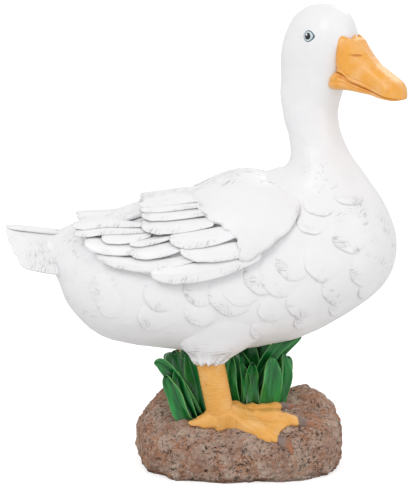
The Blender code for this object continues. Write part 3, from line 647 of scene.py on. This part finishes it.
# The top edge, the widest level and the half breadth there, one step apart from front to rear.
WING_FRAME = (
    (196, 176, 56), (200, 158, 68), (206.5, 138, 77), (203, 127.5, 80), (190.5, 121.5, 80),
    (185, 120, 77), (178.5, 126.5, 71), (168.5, 133, 62), (166, 147, 50), (163, 155, 38),
)
WING_CORE_DEPTH = 3.2
FEATHER_THICKNESS, FEATHER_TILT = 3.4, 1.5


def wing_row(x):
    """The wing's top edge, widest level and half breadth at a distance along the duck."""
    return through(WING_FRAME, (WING_FRONT_X - x) / (WING_STEP * (len(WING_FRAME) - 1)))


def on_wing(x, z, height, side):
    """Points of the folded wing's surface at x and z, raised by a height along the surface's normal."""
    top, widest, breadth = wing_row(x)
    rise = np.clip((z - widest) / (top - widest), -0.5, 1.0)
    out = np.sqrt(1 - rise * rise)
    return above_perch(x, side * (breadth * out + height * out), z + height * rise)


def wing_core(side):
    front, rear = WING_FRONT_X - 4, -138.0

    def place(t, angle):
        x = front + (rear - front) * t
        top, widest, _ = wing_row(x)
        z = (top + widest) / 2 + ((top - widest) / 2 - 1) * rounded_ends(t, 0.16, 0.2) * np.cos(angle)
        points = on_wing(x, z, -WING_CORE_DEPTH - 3 * (1 - np.abs(np.sin(angle))), side)
        points[:, 1] *= 1 - 1.03 * np.maximum(0, -np.sin(angle))
        return points

    return pulled_sphere(120, 140, place, lambda t, angle: (60 * angle, 200 * t, 0.6))


# %% [markdown]
# The table of feathers was measured on the side view, in groups: the long rear ones first, then the broad
# ones in front of them, and last the strips along the top, whose ends stand highest.

# %% Wing feathers
# Root x, root z, tip x, tip z, half width, bow, lift.
WING_FEATHERS = (
    (-64, 133, -108, 134, 3.2, 2, 0.6), (-36, 145, -128, 141, 5.8, 8, 1.2),
    (-80, 150, -138, 151, 6.5, 3, 2.0), (-43, 156, -98, 145, 6.3, 3, 2.6),
    (-57, 160, -98, 151, 3.4, 1, 3.0), (-78, 161, -123, 154, 4.7, 2, 3.0),
    (-80, 163, -148, 157, 3.8, 0, 3.2), (-80, 167, -150, 161, 3.4, 0, 3.6),
    (18, 147, -80, 128, 8.5, 6, 3.0), (20, 155, -54, 148, 8.1, 4, 4.0),
    (8, 171, -63, 155, 7.6, 4, 4.8), (-23, 172, -88, 164, 6.3, 2, 5.2),
    (-25, 179, -88, 170, 4.3, 1, 6.0), (-29, 183, -89, 173, 3.2, 0, 6.4),
    (-31, 186, -91, 175, 2.6, 0, 6.8),
)


def feather_width(t):
    """A vane that widens to two thirds of its length and closes in a round tip."""
    return (0.62 + 0.38 * np.sin(np.minimum(1, t / 0.7) * math.pi / 2)) * rounded_ends(t, 0.06, 0.22)


def wing_feather(row, side):
    root_x, root_z, tip_x, tip_z, half_width, bow, lift = row
    run = np.array([tip_x - root_x, tip_z - root_z])
    length = np.linalg.norm(run)
    across = np.array([run[1], -run[0]]) / length
    seed = root_x + tip_z

    def vane_at(t, angle):
        ragged = 1 + 0.05 * np.sin(t * length / 2.1 + seed) * smoothstep(0.5, 0.9, t)
        return half_width * feather_width(t) * np.cos(angle) * ragged

    def place(t, angle):
        vane = vane_at(t, angle)
        middle = vane - bow * 4 * t * (1 - t)
        x = root_x + run[0] * t + across[0] * middle
        z = root_z + run[1] * t + across[1] * middle
        thick = FEATHER_THICKNESS / 2 * signed_power(np.sin(angle), 0.6) * rounded_ends(t, 0.06, 0.05)
        low_edge = np.cos(angle) * (1 if across[1] < 0 else -1)
        shaft = 0.45 * bell(vane, 0.9) * (np.sin(angle) > 0)
        height = lift * (0.3 + 0.7 * t) + FEATHER_TILT * low_edge - FEATHER_THICKNESS / 2 + thick + shaft
        return on_wing(x, z, height, side)

    def strokes(t, angle):
        """The tool marked the lower edge and the tip most."""
        low = np.cos(angle) * (1 if across[1] < 0 else -1)
        marked = 0.25 + 0.75 * np.maximum(smoothstep(0.0, 0.8, low), smoothstep(0.75, 0.95, t))
        return vane_at(t, angle), t * length + 7 * seed, marked

    return pulled_sphere(44, 56, place, strokes)


# %% [markdown]
# The shoulder is smooth on top and scalloped behind, where small feathers end. It is one more plate, whose
# edge follows an outline that was measured on the side view.

# %% Shoulder cap, and both wings
# x and z round the edge of the cap.
CAP_OUTLINE = (
    (-35, 191), (-40.5, 188.5), (-42, 186.5), (-40.5, 184.5), (-38, 182), (-38, 179.3), (-35.5, 176),
    (-30.3, 174), (-28.5, 171.4), (-23.3, 170), (-18, 169), (-15, 165.3), (-10, 163.2), (-8.2, 160),
    (-3.8, 157.7), (-3.8, 152.2), (-0.8, 148.3), (-2.5, 142.5), (1.4, 139.5), (9.2, 140.8), (18, 146.8),
    (25, 150.5), (32.7, 157.4), (41.5, 163.7), (48.6, 174.4), (51.4, 183.3), (50.9, 189.3), (48, 192.5),
    (42, 195), (28, 198.5), (8.5, 202.5), (-9, 200.5), (-27, 194),
)
CAP_MIDDLE_X, CAP_MIDDLE_Z = 8.0, 172.0
CAP_HEIGHT, CAP_HALF_THICKNESS, CAP_FRONT_SINK = 1.2, 3.0, 1.8


def wing_cap(side):
    def place(t, angle):
        edge_x, edge_z = through(CAP_OUTLINE + CAP_OUTLINE[:1], angle / (2 * math.pi) % 1)
        ring = np.sin(t * math.pi) ** 0.6
        x = CAP_MIDDLE_X + (edge_x - CAP_MIDDLE_X) * ring
        z = CAP_MIDDLE_Z + (edge_z - CAP_MIDDLE_Z) * ring
        level = CAP_HEIGHT - CAP_FRONT_SINK * smoothstep(28, 50, x)
        return on_wing(x, z, level + CAP_HALF_THICKNESS * signed_power(np.cos(t * math.pi), 0.35), side)

    def strokes(t, angle):
        ring = np.sin(t * math.pi)
        marked = 0.12 + smoothstep(0.75, 0.95, ring) * 0.88
        return 40 * ring * np.sin(angle), 40 * ring * np.cos(angle), marked

    return pulled_sphere(330, 90, place, strokes)


for side, name in ((-1, "near_wing"), (1, "far_wing")):
    forms = [wing_core(side)] + [wing_feather(row, side) for row in WING_FEATHERS] + [wing_cap(side)]
    joined(name, forms, feather_white)

# %% [markdown]
# Between the two wings the back is filled by a low ridge. It sinks behind, where the wing tips stand apart.

# %% Back ridge
BACK_RIDGE_HALF_WIDTH, BACK_RIDGE_DEPTH = 31.0, 20.0
BACK_RIDGE_RISE, BACK_RIDGE_SAG = 1.2, 8.0
BACK_RIDGE_FRONT_X, BACK_RIDGE_LENGTH = 52.0, 194.0


def place_ridge(t, angle):
    x = BACK_RIDGE_FRONT_X - BACK_RIDGE_LENGTH * t
    ends = rounded_ends(t, 0.12, 0.3)
    crest = wing_row(x)[0] + BACK_RIDGE_RISE - BACK_RIDGE_SAG * smoothstep(50, 92, -x) - BACK_RIDGE_DEPTH
    z = crest + BACK_RIDGE_DEPTH * ends * signed_power(np.sin(angle), 0.7)
    return above_perch(x, BACK_RIDGE_HALF_WIDTH * ends * np.cos(angle), z)


def ridge_lines(t, angle):
    return 27 * np.cos(angle), BACK_RIDGE_LENGTH * t, 1.0


ridge = pulled_sphere(90, 110, place_ridge, ridge_lines)
joined("back_ridge", [ridge], body_white)

# %% [markdown]
# Over the ridge lie the last feathers of both wings, side by side in two rows. From the side they show as
# narrow strips along the top of the wing.

# %% Back feathers
# Where a row starts and ends along the duck, and how far it stands above the wings' top edge.
BACK_ROWS = ((-76.0, -147.0, 2.5), (-20.0, -91.0, 4.5))
BACK_FEATHERS_A_SIDE, BACK_FEATHER_SPACING, BACK_FEATHER_DROP = 2, 12.5, 0.8
BACK_FEATHER_HALF_WIDTH, BACK_FEATHER_THICKNESS = 8.6, 6.0


def back_feather(row, i):
    start, end, rise = row

    def vane_at(t, angle):
        return BACK_FEATHER_HALF_WIDTH * feather_width(t) * np.cos(angle)

    def place(t, angle):
        x = start + (end + 3 * abs(i) - start) * t
        y = BACK_FEATHER_SPACING * i + vane_at(t, angle)
        thick = signed_power(np.sin(angle), 0.6) * rounded_ends(t, 0.06, 0.05)
        top = wing_row(x)[0] + rise * smoothstep(0.0, 0.6, t) - BACK_FEATHER_DROP * abs(i) - 0.1 * np.abs(y)
        return above_perch(x, y, top + BACK_FEATHER_THICKNESS / 2 * (thick - 1))

    return pulled_sphere(40, 50, place, lambda t, angle: (vane_at(t, angle), (start - end) * t + 31 * i, 0.8))


places = range(-BACK_FEATHERS_A_SIDE, BACK_FEATHERS_A_SIDE + 1)
back_feathers = [back_feather(row, i) for row in BACK_ROWS for i in places]
joined("back_feathers", back_feathers, feather_white)

# %% [markdown]
# ## Tail
#
# The tail is a fan of nine feathers that droops to each side like a roof. Each one runs from its root to its
# tip in a straight line, and its flat side follows the slope of the roof.

# %% Tail feathers
TAIL_FEATHERS_A_SIDE = 4
TAIL_ROOT, TAIL_TIP = (-148.0, 0.0, 149.0), (-211.0, 0.0, 156.0)
TAIL_OUTER_ROOT_DROP, TAIL_OUTER_TIP_DROP = 30.0, 24.0
TAIL_OUTER_ROOT_SPREAD, TAIL_OUTER_TIP_SPREAD = 20.0, 28.0
TAIL_OUTER_SHORTER = 13.0
TAIL_FEATHER_HALF_WIDTH, TAIL_FEATHER_THICKNESS = 9.0, 5.0


def tail_feather(i):
    share = i / TAIL_FEATHERS_A_SIDE
    droop = abs(share) ** 1.4
    root = above_perch(*TAIL_ROOT) + [0, TAIL_OUTER_ROOT_SPREAD * share, -TAIL_OUTER_ROOT_DROP * droop]
    tip = above_perch(*TAIL_TIP) + [0, TAIL_OUTER_TIP_SPREAD * share, -TAIL_OUTER_TIP_DROP * droop]
    tip[0] += TAIL_OUTER_SHORTER * share**2
    slope = math.copysign(1.4 * TAIL_OUTER_TIP_DROP * abs(share) ** 0.4, share)
    across = unit(np.array([0, TAIL_OUTER_TIP_SPREAD, -slope]))
    run = tip - root
    flat = unit(np.cross(run, across))

    def vane_at(t, angle):
        return TAIL_FEATHER_HALF_WIDTH * feather_width(t) * np.cos(angle)

    def place(t, angle):
        vane = vane_at(t, angle)
        thin = TAIL_FEATHER_THICKNESS / 2 * (1 - 0.4 * t) * rounded_ends(t, 0.06, 0.06)
        shaft = 0.5 * bell(vane, 1.0)
        thin = (thin + shaft) * signed_power(np.sin(angle), 0.6)
        return root + run * t[:, None] + across * vane[:, None] + flat * thin[:, None]

    length = np.linalg.norm(run)
    return pulled_sphere(48, 60, place, lambda t, angle: (vane_at(t, angle) + 40 * i, t * length, 0.8))


tail = [tail_feather(i) for i in range(-TAIL_FEATHERS_A_SIDE, TAIL_FEATHERS_A_SIDE + 1)]
joined("tail", tail, hair_white)

# %% [markdown]
# ## Thighs
#
# Each thigh is a full bulge in the flank that draws in to a ragged hem over the leg.

# %% Thighs
NEAR_LEG_X, FAR_LEG_SETBACK, LEG_LEAN = -16.0, 20.0, 12.0
LEG_Y = 38.0
# z, how far the middle lies ahead of the leg's top, half length, half width, how far it lies outside the leg.
THIGH = (
    (124, 14, 8, 4, 20), (114, 14, 29, 14, 17), (98, 14, 40, 21, 14), (80, 12, 43, 22, 10),
    (66, 9, 39, 20, 7), (55, 5, 30, 17.5, 5), (47, 2, 20, 15, 3), (41, 0, 13.5, 13, 2),
    (39.5, 0, 3, 3, 2),
)


def leg_x(side):
    return NEAR_LEG_X - (FAR_LEG_SETBACK if side > 0 else 0)


def thigh(side):
    def place(t, angle):
        z, ahead, half_length, half_width, out = through(THIGH, t)
        hem = smoothstep(0.6, 0.9, t)
        tufts = np.sin(angle * 11) * 0.5 + np.sin(angle * 23 + 1) * 0.35
        swell = 1 + 0.035 * tufts * hem
        x = leg_x(side) - LEG_LEAN + ahead + half_length * swell * np.cos(angle)
        y = side * (LEG_Y + out) + half_width * swell * np.sin(angle)
        return above_perch(x, y, z - 1.9 * tufts * hem * rounded_ends(t, 0.5, 0.04))

    return pulled_sphere(160, 100, place, lambda t, angle: (16 * angle, 80 * t, smoothstep(0.4, 0.7, t)))


thighs = joined("thighs", [thigh(-1), thigh(1)], hair_white)

# %% [markdown]
# ## Breast and flank
#
# The breast has a few large scallops, not rows of small ones. Each scallop is a plate that is laid on the
# body: its points start on a flat oval and drop straight onto the smooth body, so it bends to any curve. The
# root sinks into the body and the tip stands out.

# %% Scallops
# x, z, tilt of the tip below the horizontal in degrees, half length, half width.
SCALES = (
    (95, 197, 80, 15, 16), (69, 188, 80, 14, 15), (62, 174, 80, 15, 14), (97, 162, 62, 19, 18),
    (114, 132, 50, 22, 18), (76, 140, 46, 22, 20), (48, 139, 46, 19, 17), (38, 130, 42, 24, 22),
    (22, 130, 50, 22, 18), (116, 109, 42, 14, 14), (91, 116, 42, 22, 19), (93, 96, 32, 17, 15),
    (59, 103, 42, 20, 19), (62, 83, 24, 16, 13), (30, 97, 42, 16, 14), (23, 76, 36, 15, 13),
    (3, 120, 50, 22, 19), (-5, 114, 48, 25, 22), (-34, 115, 42, 16, 16), (-35, 95, 72, 15, 15),
    (-67, 111, 36, 19, 17), (-71, 88, 26, 20, 16), (-117, 112, 22, 17, 16), (-113, 98, 30, 15, 14),
)
SCALE_LIFT, SCALE_THICKNESS = 3.0, 3.6


smooth_body = bmesh.new()
for data in (pulled_sphere(96, 160, trunk_point), thighs.data):
    smooth_body.from_mesh(data)
body_skin = BVHTree.FromBMesh(smooth_body)
smooth_body.free()


def scallop(row, side):
    x, z, tilt, half_length, half_width = row
    start = Vector(above_perch(x, side * 150.0, z)) * MM
    hit, facing, _, _ = body_skin.ray_cast(start, Vector((0, -side, 0)))
    centre, normal = np.array(hit) / MM, np.array(facing)
    down = math.radians(tilt)
    run = np.array([-math.cos(down), 0, -math.sin(down)])
    run = unit(run - normal * run.dot(normal))
    across = np.cross(normal, run)

    def width_at(t):
        return half_width * np.sqrt(np.clip(1 - (2 * t - 1) ** 2, 0, 1)) ** 0.8

    def place(t, angle):
        s = 2 * t - 1
        flat = centre + run * (half_length * s)[:, None] + across * (width_at(t) * np.cos(angle))[:, None]
        above = (flat + normal * half_length) * MM
        found = [body_skin.ray_cast(Vector(p), -facing) for p in above]
        found = [f if f[0] else body_skin.find_nearest(Vector(p) * MM) for f, p in zip(found, flat)]
        near = np.array([f[0] for f in found]) / MM
        outward = np.array([f[1] for f in found])
        height = SCALE_LIFT * (t - 0.6) - SCALE_THICKNESS / 4
        height = height + SCALE_THICKNESS / 2 * signed_power(np.sin(angle), 0.6)
        return near + outward * height[:, None]

    def strokes(t, angle):
        marked = smoothstep(0.62, 0.85, t) * 0.9 + 0.1
        return width_at(t) * np.cos(angle), 2 * half_length * t + 9 * x, marked

    return pulled_sphere(56, 40, place, strokes)


for side, name in ((-1, "near_breast_feathers"), (1, "far_breast_feathers")):
    joined(name, [scallop(row, side) for row in SCALES], feather_white)

# %% [markdown]
# ## Legs and feet
#
# The leg leans a little and has fine wrinkles across. The foot is a web stretched between three toes, with a
# heel behind that rises towards the leg, and all of it lies on the rock.

# %% Legs
LEG_RADIUS, ANKLE_RADIUS = 12.5, 12.0
WRINKLE_PITCH, WRINKLE_DEPTH = 3.4, 0.22


def leg(side):
    foot_x, foot_y = leg_x(side), side * LEG_Y
    sole = on_rock([foot_x], [foot_y], 0.0)[0, 2]
    hem = above_perch(0.0, 0.0, THIGH[-1][0] + 6)[2]

    def height(t):
        return hem + (sole + 1 - hem) * t

    def place(t, angle):
        z = height(t)
        radius = LEG_RADIUS + (ANKLE_RADIUS - LEG_RADIUS) * smoothstep(0.4, 1.0, t)
        wander = 1.5 * np.sin(2 * angle + z / 4)
        wrinkles = np.abs(np.sin((z + wander) * math.pi / WRINKLE_PITCH)) * WRINKLE_DEPTH
        radius = (radius + wrinkles) * rounded_ends(t, 0.05, 0.05)
        x = foot_x - LEG_LEAN * (1 - t) + radius * np.cos(angle)
        return xyz(x, foot_y + 0.8 * radius * np.sin(angle), z)

    return pulled_sphere(72, 110, place, lambda t, angle: (height(t), ANKLE_RADIUS * angle, 1.0))


# %% Feet
OUTER_TOE_LENGTH, MIDDLE_TOE_LENGTH, INNER_TOE_LENGTH = 57.0, 70.0, 60.0
TOE_SPREAD, TOE_RADIUS = math.radians(26), 5.2
TOE_TAPER, SPUR_TAPER = 0.4, 1.15
WEB_THICKNESS, WEB_SCALLOP = 6.5, 0.11
INSTEP, INSTEP_RADIUS = 12.0, 21.0
SPUR_LENGTH, SPUR_RADIUS = 31.0, 8.0
HEEL_RADIUS, HEEL_FIN = 10.5, 14.0
CLAW_LENGTH, CLAW_RADIUS = 16.0, 3.6


def fan(side):
    """The bearing and length of the inner, middle and outer toe."""
    return (
        (-side * TOE_SPREAD, INNER_TOE_LENGTH),
        (0.0, MIDDLE_TOE_LENGTH),
        (side * TOE_SPREAD, OUTER_TOE_LENGTH),
    )


def web(side):
    foot_x, foot_y = leg_x(side), side * LEG_Y
    (inner, short), (_, middle), (outer, long) = fan(side)

    def reach(bearing):
        share = np.clip(np.abs(bearing) / TOE_SPREAD, 0, 1)
        edge = np.where(bearing * outer > 0, long, short)
        inside = (middle + (edge - middle) * share) * (1 - WEB_SCALLOP * np.sin(share * math.pi)) * 0.96
        beyond = np.maximum(np.abs(bearing) - TOE_SPREAD, 0)
        outside = HEEL_RADIUS + (edge * 0.96 - HEEL_RADIUS) * bell(beyond, 0.32)
        return np.where(np.abs(bearing) <= TOE_SPREAD, inside, outside)

    def out_at(t, angle):
        return np.sin(t * math.pi) ** 0.5 * reach(angle)

    def place(t, angle):
        out, level = out_at(t, angle), np.cos(t * math.pi)
        instep = np.where(level > 0, INSTEP * bell(out, INSTEP_RADIUS), 0.0)
        lift = 1.5 + instep + WEB_THICKNESS / 2 * signed_power(level, 0.5)
        return on_rock(foot_x + out * np.cos(angle), foot_y + out * np.sin(angle), lift)

    return pulled_sphere(180, 70, place, lambda t, angle: (40 * angle, out_at(t, angle), 1.0))


def laid(start, bearing, along, across, lift):
    """Points on the rock, along and across a bearing that leaves a start point."""
    x = start[0] + math.cos(bearing) * along - math.sin(bearing) * across
    y = start[1] + math.sin(bearing) * along + math.cos(bearing) * across
    return on_rock(x, y, lift)


def toe(start, bearing, length, radius, taper=TOE_TAPER, fin=0.0):
    """A toe, or with a fin the heel, which stands higher towards the leg."""

    def place(t, angle):
        rings = 0.25 * np.abs(np.sin(t * length * math.pi / 3.4))
        thick = radius * (1.35 - taper * t) * rounded_ends(t, 0.1, 0.1) + rings
        rise = 5 * (1 - t) ** 3 + fin * (1 - t) ** 2 * np.maximum(np.sin(angle), 0)
        lift = 2.6 + thick * 0.8 * np.sin(angle) + rise
        return laid(start, bearing, length * t, thick * np.cos(angle), lift)

    return pulled_sphere(32, 56, place, lambda t, angle: (radius * angle, length * t, 1.0))


def claw(start, bearing):
    def place(t, angle):
        thick = CLAW_RADIUS * (1 - t) ** 0.6 * rounded_ends(t, 0.15, 0.1) + 0.6 * np.sin(t * math.pi)
        lift = 2.4 - 1.8 * t + thick * 1.2 * np.sin(angle)
        return laid(start, bearing, CLAW_LENGTH * t, thick * np.cos(angle), lift)

    return pulled_sphere(28, 30, place, lambda t, angle: (4 * angle, CLAW_LENGTH * t, t))


feet, claws = [], []
for side in (-1, 1):
    ankle = np.array([leg_x(side), side * LEG_Y])
    feet += [leg(side), web(side)]
    for bearing, length in fan(side):
        tip = ankle + (length - 3) * np.array([math.cos(bearing), math.sin(bearing)])
        feet.append(toe(ankle, bearing, length, TOE_RADIUS))
        claws.append(claw(tip, bearing))
    feet.append(toe(ankle, math.pi - 0.12 * side, SPUR_LENGTH, SPUR_RADIUS, SPUR_TAPER, HEEL_FIN))
joined("legs_and_feet", feet, leg_orange)
joined("claws", claws, claw_horn)

# %% [markdown]
# ## Grass
#
# The grass hides what really carries the duck: on a casting it joins belly and rock. Each blade is a ribbon
# along a curve from its root to its tip. It is folded along its midrib, twists a little and has wavy edges.

# %% Blades
# Root x, root y, bow towards the front, tip x, tip y, tip z above the rock's crown, arch, half width.
BLADES = (
    (-34, -27, -9, -77, -26, 45, 35, 6.5), (-45, -31, -4, -65, -30, 37, -3, 8),
    (-38, -29, -5, -58, -28, 41, 0, 6), (-33, -24, 3, -48, -20, 54, 0, 8),
    (-42, -12, 0, -58, -10, 55, 0, 8.5), (-48, 4, -3, -64, 8, 48, 6, 8.5),
    (-46, 22, 4, -70, 26, 40, 18, 8), (-38, 14, 3, -50, 18, 56, 0, 9),
    (-22, 2, 2, -28, 2, 58, 0, 10), (-2, -17, -11, -7, -18, 52, 0, 7.5),
    (4, -18, 7, 0, -17, 45, 0, 4.5), (8, -14, 10, 0, -13, 54, 0, 6),
    (13, -16, -3, 11, -17, 45, 0, 6.5), (25, -15, 2, 29, -16, 49, 0, 9.5),
    (33, -10, 8, 40, -11, 51, 0, 5.5), (10, -7, -18, 58, -10, 71, 25, 6.5),
    (-4, 6, 1, -6, 8, 56, 0, 9.5), (10, 12, 2, 8, 16, 60, 0, 9.5),
    (24, 14, -2, 22, 16, 62, 0, 10), (34, 6, -4, 46, 8, 44, 6, 8),
    (18, 10, -14, 57, 16, 61, 20, 6.5),
)
BLADE_THICKNESS, BLADE_FOLD, BLADE_TURN = 4.6, 3.4, math.radians(24)
BLADE_TWIST, BLADE_WAVE = math.radians(26), 2.2


def blade(row):
    root_x, root_y, bow, tip_x, tip_y, tip_z, arch, half_width = row
    root = on_rock([root_x], [root_y], -6.0)[0]
    tip = np.array([tip_x, tip_y, ROCK_HEIGHT + tip_z], float)
    knee = (root + tip) / 2 + np.array([bow, 0, arch])
    turn = BLADE_TURN * (root_x + 5) / 50
    facing = np.array([math.sin(turn), math.copysign(math.cos(turn), root_y - 0.5), 0])
    seed = 1.7 * root_x + root_y

    def width_at(t, angle):
        return half_width * (0.75 + 0.25 * np.sin(t * math.pi)) * rounded_ends(t, 0.05, 0.3) * np.cos(angle)

    def place(t, angle):
        s = t[:, None]
        spine = root * (1 - s) ** 2 + knee * 2 * s * (1 - s) + tip * s**2
        run = (knee - root) * (1 - s) + (tip - knee) * s
        across = unit(np.cross(facing, run))
        flat = unit(np.cross(run, across))
        twist = BLADE_TWIST * math.sin(seed) * (s - 0.3)
        across, flat = (
            across * np.cos(twist) + flat * np.sin(twist),
            flat * np.cos(twist) - across * np.sin(twist),
        )
        gutter = BLADE_FOLD * (np.abs(np.cos(angle)) - 0.5)
        gutter = gutter + BLADE_WAVE * np.sin(9 * t + seed) * np.cos(angle) ** 2
        thick = BLADE_THICKNESS / 2 * signed_power(np.sin(angle), 0.7) * rounded_ends(t, 0.05, 0.08)
        return spine + across * width_at(t, angle)[:, None] + flat * (gutter + thick)[:, None]

    return pulled_sphere(40, 60, place, lambda t, a: (width_at(t, a), 70 * t + 3 * root_x, np.abs(np.cos(a))))


joined("grass", [blade(row) for row in BLADES], leaf_green)

# %% [markdown]
# ## Studio
#
# A pale floor, soft lamps and the camera. The light comes mostly from all round, as in a white studio, with
# a soft key from the upper left, so the white paint keeps its shape without going grey or clipping.

# %% Floor and light
FLOOR_WHITE, FLOOR_GLOW, WORLD_LIGHT = 0.72, 0.56, 0.77


def studio_floor():
    """White where the camera looks at it, and dimmed by the object's shadow."""
    made, tree = new_material("white studio floor", 0.9)
    shader = tree.nodes["Principled BSDF"]
    shader.inputs["Base Color"].default_value = (FLOOR_WHITE, FLOOR_WHITE, FLOOR_WHITE, 1)
    shader.inputs["Specular IOR Level"].default_value = 0.0
    shader.inputs["Emission Color"].default_value = (1, 1, 1, 1)
    seen = add(tree, "ShaderNodeLightPath").outputs["Is Camera Ray"]
    feed(tree, shader.inputs["Emission Strength"], calculated(tree, "MULTIPLY", i0=seen, i1=FLOOR_GLOW))
    return made


plane = bmesh.new()
bmesh.ops.create_grid(plane, x_segments=1, y_segments=1, size=12)
floor_data = bpy.data.meshes.new("floor")
plane.to_mesh(floor_data)
plane.free()
floor_data.materials.append(studio_floor())
floor = in_scene("floor", floor_data)


def softbox(name, where, towards, watts, size):
    lamp = bpy.data.lights.new(name, "AREA")
    lamp.energy, lamp.size = watts, size
    made = in_scene(name, lamp)
    made.location = where
    made.rotation_euler = (Vector(towards) - Vector(where)).to_track_quat("-Z", "Y").to_euler()


softbox("key", (-1.3, -1.6, 2.0), (0, 0, 0.25), 16, 1.0)
softbox("fill", (1.6, -1.5, 0.5), (0, 0, 0.2), 7, 1.2)
softbox("back", (0.9, 1.6, 1.6), (0, 0, 0.25), 8, 1.0)

world = bpy.data.worlds.new("white studio")
world.use_nodes = True
sky = world.node_tree
backdrop = sky.nodes["Background"]
seen = add(sky, "ShaderNodeLightPath").outputs["Is Camera Ray"]
glow = calculated(sky, "MULTIPLY_ADD", i0=seen, i1=1 - WORLD_LIGHT, i2=WORLD_LIGHT)
feed(sky, backdrop.inputs["Color"], (1, 1, 1, 1))
feed(sky, backdrop.inputs["Strength"], glow)
bpy.context.scene.world = world

# %% [markdown]
# The camera stands about two metres away and looks down a little, at the height and angle of the photograph.

# %% Camera
CAMERA_DISTANCE = 2.2
CAMERA_DOWN = math.radians(11)
LOOK_AT = Vector((-0.032, 0.0, 0.200))
SENSOR_MM, FRAME_HEIGHT_PX, MM_PER_PX = 36.0, 494, 0.9

view = bpy.data.cameras.new("camera")
view.sensor_width = SENSOR_MM
view.lens = SENSOR_MM * (CAMERA_DISTANCE / (MM_PER_PX * MM)) / FRAME_HEIGHT_PX
view.clip_start = 0.05
camera = in_scene("camera", view)
back = Vector((0, -math.cos(CAMERA_DOWN), math.sin(CAMERA_DOWN)))
camera.location = LOOK_AT + back * CAMERA_DISTANCE
camera.rotation_euler = (math.pi / 2 - CAMERA_DOWN, 0, 0)
bpy.context.scene.camera = camera
bpy.context.scene.view_settings.view_transform = "Standard"
print("lens, mm:", round(view.lens, 1))
